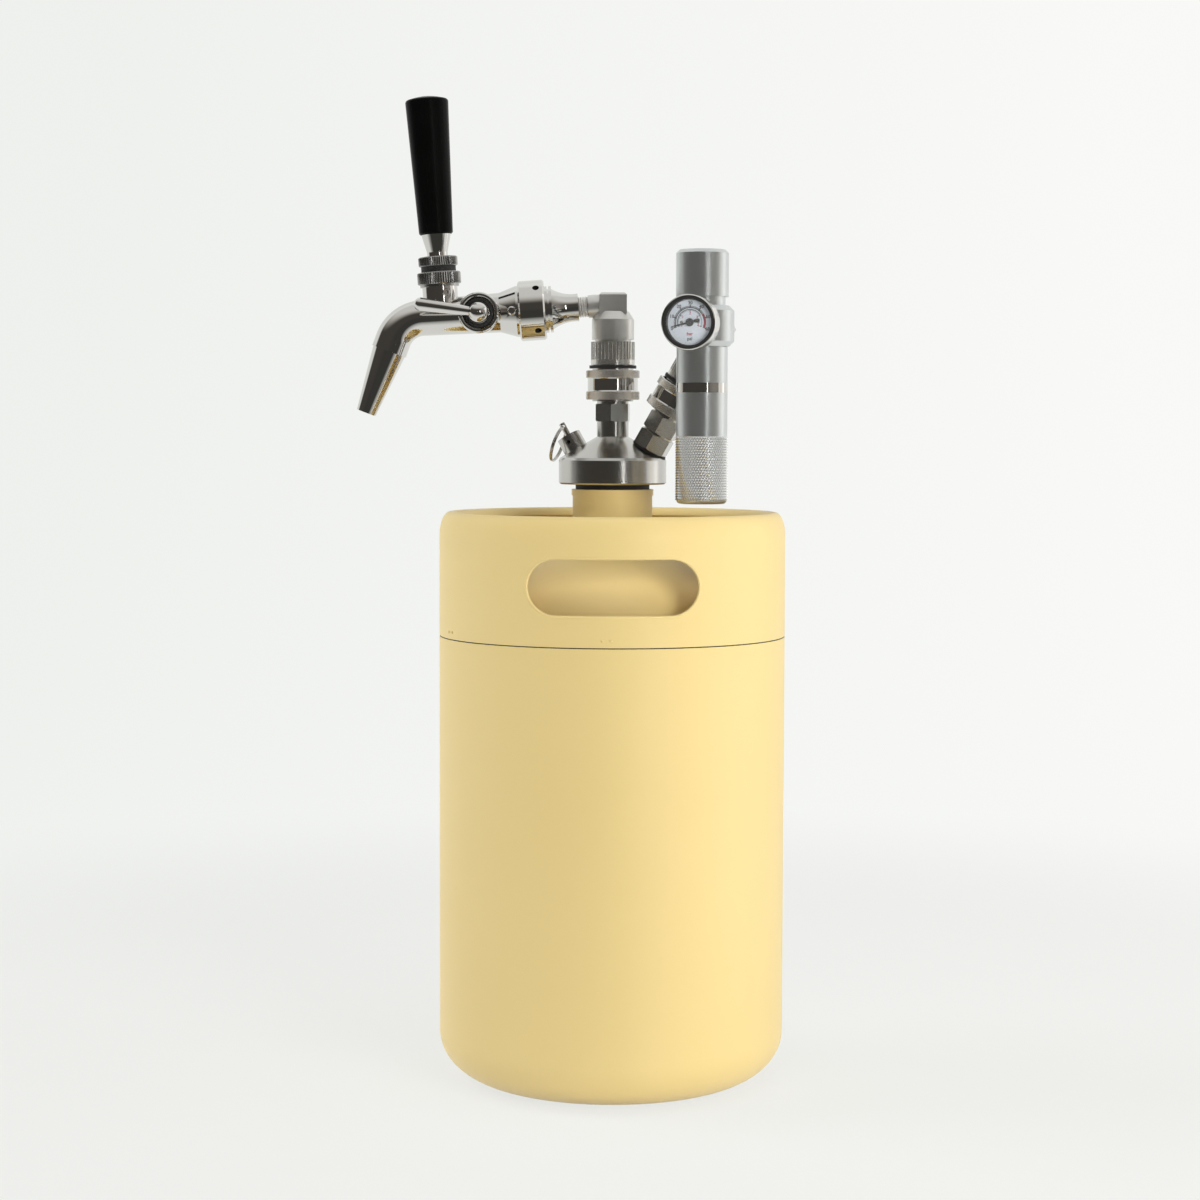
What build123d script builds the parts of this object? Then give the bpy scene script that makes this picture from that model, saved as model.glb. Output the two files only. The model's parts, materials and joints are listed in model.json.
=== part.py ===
from build123d import *
import os
from math import cos, radians, sin, sqrt, tan

# Frame: millimetres, origin on the floor under the keg's axis, +Z up.
# The tap points to -X, the regulator stands at +X and the front is -Y.

# Fits and clearances
running_clearance = 0.05      # a shaft or pin that turns in its hole
moving_clearance = 0.3        # curved faces of pieces that move past each other
joint_clearance = 0.05        # curved faces that are screwed or welded together

# Keg body
body_radius = 85.0
shell_wall = 1.2
seam_height = 220.0
seam_groove = 0.4              # depth and half height of the V between the shell and the collar
base_ring_radius = 55.0
base_corner_height = 24.0
base_disc_radius = 50.0
vacuum_gap = 5.0
vessel_floor_gap = 8.0
vessel_wall = 0.9
vessel_corner = 20.0
dome_skirt = 6.0
dome_rise = 48.0
dome_top = seam_height + dome_rise
dome_bulge_in = 0.45          # share of the run and of the rise at the dome arc's middle point
dome_bulge_up = 0.62

# Top collar with its two hand slots
collar_wall = 1.2
collar_height = 60.6
rim_height = seam_height + collar_height
rim_inset = 5.0
rim_drop = 12.0
rim_lip = 4.0
slot_width = 80.0
slot_height = 26.5
slot_rise = 28.0
slot_centre_height = seam_height + slot_rise
slot_edge_round = 0.45

# Neck
neck_radius = 19.6
neck_lip_radius = 20.1
neck_lip_height = 3.0
neck_wall = 3.0
neck_rise = 23.7
neck_top = dome_top + neck_rise

# Lid
seal_radius = 18.15
seal_height = 2.5
plug_wall = 3.7
plug_length = 22.0
flange_radius = 26.4
flange_height = 12.5
flange_edge = 0.8
lid_roof = 3.0
cone_angle = 30.0
hub_radius = 7.8
hub_height = 7.4

# Ports in the lid's cone, square to its face
lid_turn = -15.2
port_radius = 18.7
port_sink = 0.8
port_thread_radius = 4.5
port_depth = 9.0

# Posts: a hexagon below, the ball lock barrel above
hex_flats = 15.875
hex_height = 8.7
hex_chamfer = 0.8
hex_chamfer_height = 0.5
liquid_hex_turn = 24.0
gas_hex_turn = 30.0
post_radius = 7.75
post_height = 15.3
post_bore_radius = 4.2
post_spigot_radius = 6.0
post_spigot_length = 5.0
ball_groove_depth = 0.9
ball_groove_height = 3.4
washer_height = 1.2
washer_radius = 8.8
adapter_height = 8.2
adapter_gap = 1.0
adapter_spigot_length = 7.0

# Dip tube
dip_tube_radius = 4.0
dip_tube_wall = 0.8
dip_tube_flange_radius = 5.7
dip_tube_flange_height = 1.0
dip_tube_floor_gap = 8.0

# Poppet valves in the posts
poppet_radius = 3.4
poppet_height = 2.0
poppet_stem_radius = 1.2
poppet_stem_length = 9.0
poppet_lift = 6.5
poppet_spring_wire = 0.7
poppet_spring_radius = 2.6
poppet_spring_turns = 4

# Disconnects, measured up from the underside of the post's hexagon
coupler_start = 9.9
coupler_radius = 10.05
coupler_spigot_radius = 7.9
coupler_spigot_length = 8.0
coupler_bore_radius = 4.0
opener_radius = 1.4
opener_bar = 1.8
ball_radius = 1.4
ball_count = 4
lock_collar_start = 10.6
knurl_ring_radius = 13.25
lock_collar_radius = 12.35
lower_ring_height = 4.2
lock_sleeve_height = 6.4
upper_ring_height = 3.9
lock_collar_ledge = 9.6
lock_collar_lift = 3.4
wiper_start = 26.0
wiper_height = 1.4
wiper_radius = 11.5
cup_start = 27.7
cup_height = 11.2
cup_radius = 10.75
flute_count = 36
flute_depth = 0.45
flute_radius = 0.6
flute_length = 8.7
elbow_start = 40.0
elbow_spigot_length = 4.5
elbow_radius = 10.35
elbow_height = 12.4
elbow_neck_radius = 8.9
elbow_chamfer = 2.6
elbow_block_width = 13.4
elbow_block_top = 62.8
elbow_block_edge = 1.0
outlet_height = 56.9
outlet_bore_radius = 2.6
outlet_collar_end = 12.2
outlet_collar_radius = 5.6

# Tap: x runs out along its axis, y towards the front, z up, from the liquid outlet
tap_droop = 4.0
nipple_radius = 4.7
shank_cone_start = 17.0
shank_cone_small_radius = 6.85
shank_cone_end = 29.8
shank_cone_large_radius = 10.0
shank_cone_hollow = 1.2
shank_ring_radius = 11.4
shank_groove_width = 0.8
shank_flange_radius = 12.2
shank_flange_end = 38.0
nut_start = 33.2
nut_end = 46.1
nut_radius = 14.7
nut_lip = 1.2
nut_edge = 0.8
nut_hole_radius = 1.65
nut_hole_depth = 2.0
nut_hole_inset = 3.9
nut_hole_count = 4
tap_shoulder_radius = 12.5
tap_shoulder_length = 1.2
tap_waist = 55.5
tap_waist_radius = 9.7
tap_bore_radius = 6.3
locator_radius = 2.2
locator_at = 49.3
locator_proud = 1.6
bend_start = 93.5
bend_radius = 16.5
bend_angle = 65.4
spout_radius = 8.8
spout_bore_radius = 5.0
spout_straight = 6.1
seat_at = 96.2
nozzle_length = 32.0
nozzle_top_radius = 8.25
nozzle_tip_radius = 4.9
nozzle_wall = 1.0
nozzle_spigot_length = 4.0

# Bonnet and lever
lever_at = 84.0
boss_radius = 8.6
boss_bore_radius = 7.0
boss_height = 14.5
bonnet_step_radius = 9.5
bonnet_step_height = 1.2
bonnet_radius = 10.65
bonnet_height = 5.9
gasket_radius = 8.5
gasket_height = 2.9
bonnet_cap_radius = 9.6
bonnet_cap_height = 4.6
cap_mouth_radius = 7.9
cap_throat_radius = 6.7
lever_pivot_drop = 2.2
lever_ball_radius = 5.6
lever_neck_radius = 5.1
lever_neck_length = 2.2
lever_pin_radius = 1.25
lever_pin_inset = 0.3
lever_arm_length = 24.0
lever_arm_radius = 2.0
lever_tip_radius = 2.9
handle_travel = 30.0
ferrule_radius = 7.25
ferrule_height = 8.6
ferrule_stud_radius = 2.4
ferrule_stud_length = 14.0
handle_bottom_radius = 8.3
handle_top_radius = 10.5
handle_length = 67.0
handle_dome = 1.4
handle_edge = 1.6

# Shuttle valve in the tap
shuttle_disc = 3.0
shuttle_front = 2.0
shuttle_floor = -1.0
shuttle_seal_radius = 5.2
shuttle_seal_height = 1.4
shuttle_play = 0.55

# Flow control on the tap's front
flow_at = 65.3
flow_boss_radius = 8.0
flow_boss_reach = 10.2
flow_collar_radius = 10.0
flow_collar_height = 6.8
flow_recess_radius = 8.7
flow_recess_depth = 2.0
flow_collar_edge = 0.7
flow_shaft_radius = 2.4
flow_paddle_radius = 4.5
flow_paddle_thickness = 4.0
flow_ball_radius = 5.05
flow_ball_proud = 3.0
flow_lever_length = 31.2
flow_lever_small_radius = 2.1
flow_lever_large_radius = 3.25
flow_lever_angle = 11.7

# Relief valve
relief_radius = 6.05
relief_height = 8.4
relief_roof = 1.2
relief_bore_radius = 3.2
relief_vent_radius = 0.9
relief_vent_height = 5.0
relief_stem_radius = 1.5
relief_stem_proud = 7.0
relief_disc_radius = 2.9
relief_disc_height = 1.2
relief_disc_at = 2.0
relief_lift = 2.4
relief_eye_inset = 2.0
relief_eye_radius = 1.05
relief_spring_wire = 0.5
relief_spring_radius = 2.2
relief_spring_turns = 2
pull_ring_radius = 8.7
pull_ring_wire = 0.45
pull_ring_split = 0.38
pull_ring_hang = 49.0

# Regulator: z up its tube axis from the outlet height, -y is where the gauge faces
regulator_reach = 31.0
regulator_radius = 15.2
regulator_below = 8.5
regulator_above = 10.7
regulator_edge = 2.4
regulator_port_radius = 4.8
regulator_port_depth = 6.0
regulator_neck_radius = 11.0
regulator_neck_height = 13.5
regulator_bore_radius = 8.5
regulator_floor = 2.0
regulator_spigot_radius = 10.6
regulator_spigot_length = 15.5
knob_gap = 4.2
knob_radius = 12.5
knob_height = 22.1
knob_roof = 4.0
knob_chamfer = 1.6
knob_screw_radius = 2.5
piston_height = 3.0
adjust_spring_wire = 1.4
adjust_spring_radius = 6.4
adjust_spring_turns = 4
adjust_spring_length = 14.0
holder_radius = 12.5
holder_gap = 0.2
holder_length = 74.2
holder_floor = 3.0
holder_bore_radius = 9.7
holder_knurl_length = 31.6
holder_knurl_depth = 0.35
holder_corner = 2.0
holder_ring_at = 17.0
holder_ring_height = 4.6
holder_ring_depth = 0.6
holder_ring_proud = 0.15
cartridge_radius = 9.3
cartridge_length = 65.0
cartridge_neck_radius = 4.3
cartridge_neck_length = 10.0
cartridge_shoulder = 8.0
cartridge_clearance = 0.2
pierce_radius = 1.0
pierce_gap = 0.3

# Gauge
gauge_rise = 1.9
gauge_radius = 13.0
gauge_case_radius = 12.4
gauge_depth = 12.0
gauge_stand_off = 2.0
gauge_wall = 1.2
gauge_stem_radius = 4.8
gauge_stem_length = 4.0
bezel_height = 3.2
bezel_lip = 2.0
bezel_front = 0.8
lens_height = 1.0
dial_height = 0.8
dial_gap = 1.8
needle_length = 8.4
needle_tail = 3.6
needle_width = 0.9
needle_height = 0.4
needle_hub_radius = 1.5
needle_shaft_radius = 0.7
needle_shaft_length = 2.6
needle_angle = 193.0

# Heights that follow from the sizes above
flange_bottom = neck_top + seal_height
flange_top = flange_bottom + flange_height
cone_top = flange_top + (flange_radius - hub_radius) * tan(radians(cone_angle))
hub_top = cone_top + hub_height
port_height = flange_top + (flange_radius - port_radius) * tan(radians(cone_angle))
plug_radius = neck_radius - neck_wall - moving_clearance
cavity_radius = plug_radius - plug_wall
cavity_top = flange_bottom + lid_roof
bottom_centre = (Align.CENTER, Align.CENTER, Align.MIN)

# Places of the sub-assemblies
lid_place = Rot(0, 0, lid_turn)
gas_seat = lid_place * Pos(port_radius, 0, port_height) * Rot(0, cone_angle, 0) * Pos(0, 0, -port_sink)
relief_seat = lid_place * Pos(-port_radius, 0, port_height) * Rot(0, -cone_angle, 0) * Pos(0, 0, -port_sink)
liquid_place = Pos(0, 0, hub_top)
gas_place = gas_seat * Pos(0, 0, washer_height + adapter_height + adapter_gap)
tap_place = liquid_place * Pos(0, 0, outlet_height) * Rot(0, -tap_droop, 0) * Rot(0, 0, 180)
gas_outlet = (gas_place * Pos(0, 0, outlet_height)).position
regulator_place = Pos(gas_outlet.X, gas_outlet.Y, gas_outlet.Z) * lid_place * Pos(0, -regulator_reach, 0)
gauge_place = regulator_place * Pos(0, 0, gauge_rise) * Rot(90, 0, 0)


# Helpers

def disc(radius, start, end):
    """A cylinder on the local Z axis between two heights."""
    return Pos(0, 0, start) * Cylinder(radius, end - start, align=bottom_centre)


def sleeve(outer, inner, start, end):
    """A tube on the local Z axis between two heights."""
    return disc(outer, start, end) - disc(inner, start, end)


def taper(start_radius, end_radius, start, end):
    """A cone on the local Z axis between two heights."""
    return Pos(0, 0, start) * Cone(start_radius, end_radius, end - start, align=bottom_centre)


def turned(*edges):
    """A solid of revolution from edges drawn as (radius, height)."""
    return revolve(Plane.XZ * make_face(Curve() + list(edges)), Axis.Z)


def turned_points(*points):
    """A solid of revolution from straight runs between (radius, height) points."""
    return turned(Polyline(*points, close=True))


def hexagon(start, end, turn):
    """A hexagon bar with its corners turned off at both ends."""
    outline = Rot(0, 0, turn) * RegularPolygon(hex_flats / 2, 6, major_radius=False)
    bar = Pos(0, 0, start) * extrude(outline, end - start)
    corner = hex_flats / 2 / cos(radians(30))
    blank = turned_points(
        (0, start),
        (corner - hex_chamfer, start),
        (corner, start + hex_chamfer_height),
        (corner, end - hex_chamfer_height),
        (corner - hex_chamfer, end),
        (0, end),
    )
    return bar & blank


def coil(radius, wire, turns, start, length):
    """A round-wire spring between two heights on the local Z axis."""
    rise = (length - wire) / turns
    path = Helix(rise, rise * turns, radius)
    wire_end = Plane(origin=path @ 0, z_dir=path % 0) * Circle(wire / 2)
    return Pos(0, 0, start + wire / 2) * sweep(wire_end, path, is_frenet=True)


# Keg body

def corner_arc(inset):
    """The rounded base corner, moved in by inset."""
    return EllipticalCenterArc(
        (base_ring_radius, base_corner_height),
        body_radius - base_ring_radius - inset,
        base_corner_height - inset,
        start_angle=270,
        arc_size=90,
    )


def make_outer_shell():
    outer = corner_arc(0)
    inner = corner_arc(shell_wall)
    wall_top = Polyline(
        outer @ 1,
        (body_radius, seam_height - seam_groove),
        (body_radius - seam_groove, seam_height),
        (body_radius - shell_wall, seam_height),
        inner @ 1,
    )
    foot = Polyline(inner @ 0, (base_disc_radius, shell_wall), (base_disc_radius, 0), outer @ 0)
    return turned(outer, wall_top, inner, foot)


def make_base_disc():
    return disc(base_disc_radius - joint_clearance, 0, shell_wall)


dome_radius = body_radius - max(shell_wall, collar_wall) - joint_clearance
dome_start = seam_height - dome_skirt


def dome_arc(inset):
    """The shoulder between the skirt and the neck, moved down and in by inset."""
    low = (dome_radius - inset, seam_height)
    high = (neck_radius + joint_clearance, dome_top - inset)
    middle = (
        low[0] + (high[0] - low[0]) * dome_bulge_in,
        low[1] + (high[1] - low[1]) * dome_bulge_up,
    )
    return ThreePointArc(low, middle, high)


def make_shoulder_dome():
    outer = dome_arc(0)
    inner = dome_arc(shell_wall)
    skirt = Polyline(
        inner @ 0,
        (dome_radius - shell_wall, dome_start),
        (dome_radius, dome_start),
        outer @ 0,
    )
    return turned(outer, skirt, inner, Line(inner @ 1, outer @ 1))


neck_bottom = dome_top - shell_wall - joint_clearance


def vessel_outline(inset):
    """The liner's outline from the floor's centre to its throat, moved in by inset."""
    radius = body_radius - shell_wall - vacuum_gap - inset
    floor = shell_wall + vessel_floor_gap + inset
    shoulder = dome_start - vacuum_gap
    throat = neck_radius - inset
    bend = vessel_corner - inset
    corner = CenterArc((radius - bend, floor + bend), bend, 270, 90)
    roof_middle = (
        radius + (throat - radius) * dome_bulge_in,
        shoulder + (neck_bottom - vacuum_gap - shoulder) * dome_bulge_up - inset,
    )
    roof = ThreePointArc((radius, shoulder), roof_middle, (throat, neck_bottom - vacuum_gap - inset))
    return [
        Line((0, floor), corner @ 0),
        corner,
        Line(corner @ 1, roof @ 0),
        roof,
        Line(roof @ 1, (throat, neck_bottom)),
    ]


def make_inner_vessel():
    throat_gap = neck_radius - vessel_wall
    outer = turned(
        *vessel_outline(0),
        Polyline((neck_radius, neck_bottom), (0, neck_bottom), vessel_outline(0)[0] @ 0),
    )
    inner = turned(
        *vessel_outline(vessel_wall),
        Polyline((throat_gap, neck_bottom), (0, neck_bottom), vessel_outline(vessel_wall)[0] @ 0),
    )
    return outer - inner


def rim_curve(inset):
    """The collar's wall from the seam over the rim to the lip, moved in by inset."""
    shoulder = rim_height - rim_drop
    crest = body_radius - rim_inset
    over = EllipticalCenterArc((crest, shoulder), rim_inset - inset, rim_drop - inset, arc_size=90)
    lip = CenterArc((crest, rim_height - rim_lip), rim_lip - inset, 90, 90)
    return [
        Line((body_radius - inset, seam_height + seam_groove), over @ 0),
        over,
        lip,
    ]


def make_top_collar():
    outer = rim_curve(0)
    inner = rim_curve(collar_wall)
    ring = turned(
        *outer,
        Line(outer[-1] @ 1, inner[-1] @ 1),
        *inner,
        Polyline(
            inner[0] @ 0,
            (body_radius - collar_wall, seam_height),
            (body_radius - seam_groove, seam_height),
            outer[0] @ 0,
        ),
    )
    slot = Plane.XZ * Pos(0, slot_centre_height) * SlotOverall(slot_width, slot_height)
    ring -= extrude(slot, body_radius * 2, both=True)
    low = slot_centre_height - slot_height / 2 - collar_wall
    high = slot_centre_height + slot_height / 2 + collar_wall
    slot_edges = []
    for edge in ring.edges():
        box = edge.bounding_box()
        if low < box.min.Z and box.max.Z < high and edge.length > collar_wall * 3:
            slot_edges.append(edge)
    return fillet(slot_edges, slot_edge_round)


def make_neck():
    bore = neck_radius - neck_wall
    return turned_points(
        (bore, neck_bottom),
        (neck_radius, neck_bottom),
        (neck_radius, neck_top - neck_lip_height),
        (neck_lip_radius, neck_top - neck_lip_height),
        (neck_lip_radius, neck_top),
        (bore, neck_top),
    )


# Lid

def make_lid_cap():
    spigot_bore = post_spigot_radius + joint_clearance
    tube_bore = dip_tube_radius + joint_clearance
    ledge = hub_top - post_spigot_length - dip_tube_flange_height
    plug_bottom = flange_bottom - plug_length
    blank = turned_points(
        (cavity_radius, plug_bottom),
        (plug_radius, plug_bottom),
        (plug_radius, flange_bottom),
        (flange_radius - flange_edge, flange_bottom),
        (flange_radius, flange_bottom + flange_edge),
        (flange_radius, flange_top - flange_edge),
        (flange_radius - flange_edge, flange_top + flange_edge * tan(radians(cone_angle))),
        (hub_radius, cone_top),
        (hub_radius, hub_top),
        (spigot_bore, hub_top),
        (spigot_bore, ledge),
        (tube_bore, ledge),
        (tube_bore, cavity_top),
        (cavity_radius, cavity_top),
    )
    thread = disc(port_thread_radius, -port_depth, 0) + disc(port_thread_radius / 2, -port_depth * 3, 0)
    gas_cut = disc(washer_radius + moving_clearance, 0, port_sink * 4) + thread
    relief_cut = disc(relief_radius + moving_clearance, 0, port_sink * 4) + thread
    keep = sleeve(hub_radius, spigot_bore, cone_top - hub_height, hub_top)
    cuts = gas_seat * gas_cut + relief_seat * relief_cut
    return blank - (cuts - keep)


def make_lid_seal():
    return sleeve(seal_radius, plug_radius + joint_clearance, neck_top, flange_bottom)


def make_dip_tube():
    ledge = hub_top - post_spigot_length - dip_tube_flange_height
    foot = shell_wall + vessel_floor_gap + vessel_wall + dip_tube_floor_gap
    top = ledge + dip_tube_flange_height
    tube = disc(dip_tube_radius, foot, ledge) + disc(dip_tube_flange_radius, ledge, top)
    return tube - disc(dip_tube_radius - dip_tube_wall, foot, top)


def make_post(hex_turn):
    """A ball lock post from its hexagon's underside up, with its spigot below."""
    top = hex_height + post_height
    groove_at = ball_height - ball_groove_height / 2
    groove_floor = post_radius - ball_groove_depth
    body = hexagon(0, hex_height, hex_turn) + disc(post_radius, hex_height, top)
    body += disc(post_spigot_radius, -post_spigot_length, 0)
    body -= sleeve(post_radius * 2, groove_floor, groove_at, groove_at + ball_groove_height)
    return body - disc(post_bore_radius, -post_spigot_length, top)


def make_adapter():
    """The hexagon adapter under the gas post, from its washer up."""
    top = washer_height + adapter_height
    body = hexagon(washer_height, top, gas_hex_turn)
    body += disc(port_thread_radius - joint_clearance, -adapter_spigot_length, washer_height)
    body += disc(hub_radius, top, top + adapter_gap)
    socket_floor = top + adapter_gap - post_spigot_length
    body -= disc(post_spigot_radius + joint_clearance, socket_floor, top + adapter_gap)
    return body - disc(post_bore_radius - dip_tube_wall, -adapter_spigot_length, top)


def make_washer():
    return sleeve(washer_radius, port_thread_radius, 0, washer_height)


def make_poppet():
    seat = poppet_lift + poppet_stem_length
    head = disc(poppet_radius, seat, seat + poppet_height)
    return head + disc(poppet_stem_radius, poppet_lift, seat)


def make_poppet_spring():
    wire = poppet_spring_wire
    return coil(poppet_spring_radius, wire, poppet_spring_turns, poppet_lift, poppet_stem_length)


# Disconnects

collar_length = lower_ring_height + lock_sleeve_height + upper_ring_height
ball_height = lock_collar_start + lower_ring_height + ball_radius
coupler_bore = post_radius + running_clearance
coupler_roof = hex_height + post_height + moving_clearance * 2


def make_coupler():
    spigot_top = wiper_start + coupler_spigot_length
    body = disc(coupler_radius, coupler_start, wiper_start)
    body += disc(coupler_spigot_radius, wiper_start, spigot_top)
    body -= disc(coupler_bore, coupler_start, coupler_roof)
    body -= disc(coupler_bore_radius, coupler_roof, spigot_top)
    poppet_top = poppet_lift + poppet_stem_length + poppet_height
    opener = disc(opener_radius, poppet_top, spigot_top)
    bar_length = coupler_bore_radius * 2 + opener_bar
    bar = Pos(0, 0, wiper_start) * Box(bar_length, opener_bar, opener_bar, align=bottom_centre)
    for index in range(ball_count):
        hole = disc(ball_radius + joint_clearance, coupler_bore / 2, coupler_radius * 2)
        body -= Pos(0, 0, ball_height) * Rot(0, 0, index * 360 / ball_count) * Rot(0, 90, 0) * hole
    return body + opener + bar


def make_lock_balls():
    ball = Pos(coupler_radius - ball_radius, 0, ball_height) * Sphere(ball_radius)
    return Compound([Rot(0, 0, index * 360 / ball_count) * ball for index in range(ball_count)])


def make_lock_collar():
    sleeve_start = lock_collar_start + lower_ring_height
    upper_start = sleeve_start + lock_sleeve_height
    top = lock_collar_start + collar_length
    ledge = lock_collar_start + lock_collar_ledge
    body = disc(knurl_ring_radius, lock_collar_start, sleeve_start)
    body += disc(lock_collar_radius, sleeve_start, upper_start)
    body += disc(knurl_ring_radius, upper_start, top)
    body -= disc(coupler_radius + moving_clearance, lock_collar_start, ledge)
    return body - disc(wiper_radius + moving_clearance, ledge, top)


def make_wiper():
    bore = coupler_spigot_radius + joint_clearance
    return sleeve(wiper_radius, bore, wiper_start, wiper_start + wiper_height)


def make_cup():
    top = cup_start + cup_height
    body = sleeve(cup_radius, coupler_spigot_radius + joint_clearance, cup_start, top)
    reach = cup_radius + flute_radius - flute_depth
    flute = Pos(reach, 0, 0) * disc(flute_radius, top - flute_length, top)
    return body - [Rot(0, 0, index * 360 / flute_count) * flute for index in range(flute_count)]


def make_elbow(outlet_frame, outlet_end):
    """A disconnect's elbow whose outlet leaves along outlet_frame's x axis."""
    shoulder = elbow_start + elbow_height
    body = turned_points(
        (0, elbow_start - elbow_spigot_length),
        (coupler_spigot_radius, elbow_start - elbow_spigot_length),
        (coupler_spigot_radius, cup_start + cup_height),
        (elbow_neck_radius, cup_start + cup_height),
        (elbow_neck_radius, elbow_start),
        (elbow_radius, elbow_start),
        (elbow_radius, shoulder - elbow_chamfer),
        (elbow_radius - elbow_chamfer, shoulder + elbow_chamfer / 2),
        (0, shoulder + elbow_chamfer / 2),
    )
    block = Pos(0, 0, shoulder) * Box(
        elbow_block_width, elbow_block_width, elbow_block_top - shoulder, align=bottom_centre
    )
    body += chamfer(block.edges().group_by(Axis.Z)[-1], elbow_block_edge)
    outlet = disc(outlet_collar_radius, 0, outlet_collar_end) + disc(nipple_radius, 0, outlet_end)
    body += outlet_frame * Rot(0, 90, 0) * outlet
    body -= outlet_frame * Rot(0, 90, 0) * disc(outlet_bore_radius, 0, outlet_end)
    return body - disc(outlet_bore_radius, elbow_start - elbow_spigot_length, outlet_height)


# Tap, in its own frame

def along_tap(*points):
    """A piece turned about the tap's axis, from (distance, radius) points."""
    return Rot(0, 90, 0) * turned_points(*[(radius, distance) for distance, radius in points])


def make_tap_shank():
    cone = ThreePointArc(
        (shank_cone_small_radius, shank_cone_start),
        (
            (shank_cone_small_radius + shank_cone_large_radius) / 2 - shank_cone_hollow,
            (shank_cone_start + shank_cone_end) / 2,
        ),
        (shank_cone_large_radius, shank_cone_end),
    )
    bore = nipple_radius + joint_clearance
    lip_front = nut_start + nut_lip
    outline = Polyline(
        cone @ 1,
        (shank_ring_radius, shank_cone_end),
        (shank_ring_radius, lip_front),
        (shank_flange_radius, lip_front),
        (shank_flange_radius, shank_flange_end),
        (bore, shank_flange_end),
        (bore, shank_cone_start),
        cone @ 0,
    )
    groove_at = (shank_cone_end + nut_start - shank_groove_width) / 2
    groove_end = groove_at + shank_groove_width
    groove = sleeve(shank_ring_radius * 2, shank_cone_large_radius, groove_at, groove_end)
    return Rot(0, 90, 0) * (turned(cone, outline) - groove)


def make_coupling_nut():
    lip_front = nut_start + nut_lip
    lip = shank_ring_radius + joint_clearance * 2
    thread = shank_flange_radius + joint_clearance * 2
    nut = along_tap(
        (nut_start, lip),
        (nut_start, nut_radius - nut_edge),
        (nut_start + nut_edge, nut_radius),
        (nut_end - nut_edge, nut_radius),
        (nut_end, nut_radius - nut_edge),
        (nut_end, thread),
        (lip_front, thread),
        (lip_front, lip),
    )
    for index in range(nut_hole_count):
        turn = (index + 0.5) * 360 / nut_hole_count
        hole = disc(nut_hole_radius, nut_radius - nut_hole_depth, nut_radius + nut_hole_depth)
        nut -= Rot(turn, 0, 0) * Pos(nut_start + nut_hole_inset, 0, 0) * hole
    return nut


def bend_frame(distance):
    """The spout's place, distance past the end of its bend, with x along the flow."""
    return (
        Pos(bend_start, 0, -bend_radius)
        * Rot(0, bend_angle, 0)
        * Pos(distance, 0, bend_radius)
    )


def bent_tube(radius):
    """The curved stretch and the straight end of the spout, as a bar of one radius."""
    section = Plane(origin=(bend_start, 0, 0), z_dir=(1, 0, 0)) * Circle(radius)
    curve = revolve(section, Axis((bend_start, 0, -bend_radius), (0, 1, 0)), bend_angle)
    return curve + bend_frame(0) * Rot(0, 90, 0) * disc(radius, 0, spout_straight)


def make_tap_body():
    spigot = shank_flange_radius
    outside = along_tap(
        (shank_flange_end, 0),
        (shank_flange_end, spigot),
        (nut_end, spigot),
        (nut_end, tap_shoulder_radius),
        (nut_end + tap_shoulder_length, tap_shoulder_radius),
        (tap_waist, tap_waist_radius),
        (bend_start, spout_radius),
        (bend_start, 0),
    )
    body = outside + bent_tube(spout_radius)
    body += Pos(lever_at, 0, 0) * disc(boss_radius, 0, boss_height)
    body += Pos(flow_at, 0, 0) * Rot(-90, 0, 0) * disc(flow_boss_radius, 0, flow_boss_reach)
    body += Pos(locator_at, 0, 0) * Rot(-90, 0, 0) * (
        disc(locator_radius, tap_waist_radius, tap_shoulder_radius)
        + Pos(0, 0, tap_shoulder_radius) * Sphere(locator_radius)
        & disc(locator_radius, tap_waist_radius, tap_shoulder_radius + locator_proud)
    )
    body -= Rot(0, 90, 0) * disc(tap_bore_radius, shank_flange_end, seat_at)
    body -= bent_tube(spout_bore_radius)
    socket = disc(nozzle_socket_radius, spout_straight - nozzle_spigot_length, spout_straight)
    body -= bend_frame(0) * Rot(0, 90, 0) * socket
    arm_depth = lever_pivot - tap_bore_radius
    arm_swing = arm_depth * tan(radians(handle_travel / 2)) + lever_arm_radius + moving_clearance
    slot_top = boss_height / 2 + lever_arm_radius
    slot = Box(arm_swing * 2, (lever_tip_radius + moving_clearance) * 2, slot_top, align=bottom_centre)
    body -= Pos(lever_at, 0, 0) * slot
    body -= Pos(lever_at, 0, 0) * disc(boss_bore_radius, slot_top, boss_height)
    shaft_hole = disc(flow_shaft_radius + running_clearance, 0, flow_boss_reach)
    return body - Pos(flow_at, 0, 0) * Rot(-90, 0, 0) * shaft_hole


nozzle_socket_radius = nozzle_top_radius - nozzle_wall * 2


def make_nozzle():
    spigot = nozzle_socket_radius - joint_clearance
    tip_bore = nozzle_tip_radius - nozzle_wall
    shape = turned_points(
        (spout_bore_radius, -nozzle_spigot_length),
        (spigot, -nozzle_spigot_length),
        (spigot, 0),
        (nozzle_top_radius, 0),
        (nozzle_tip_radius, nozzle_length),
        (tip_bore, nozzle_length),
    )
    return bend_frame(spout_straight) * Rot(0, 90, 0) * shape


bonnet_top = boss_height + bonnet_step_height + bonnet_height
cap_bottom = bonnet_top + gasket_height
cap_top = cap_bottom + bonnet_cap_height
lever_pivot = cap_top - lever_pivot_drop


def at_lever(shape):
    """Place a shape on the lever's upright axis."""
    return Pos(lever_at, 0, 0) * shape


def make_bonnet():
    step_top = boss_height + bonnet_step_height
    body = disc(bonnet_step_radius, boss_height, step_top) + disc(bonnet_radius, step_top, bonnet_top)
    return at_lever(body - disc(boss_bore_radius, boss_height, bonnet_top))


def make_bonnet_gasket():
    return at_lever(sleeve(gasket_radius, cap_throat_radius, bonnet_top, cap_bottom))


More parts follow.
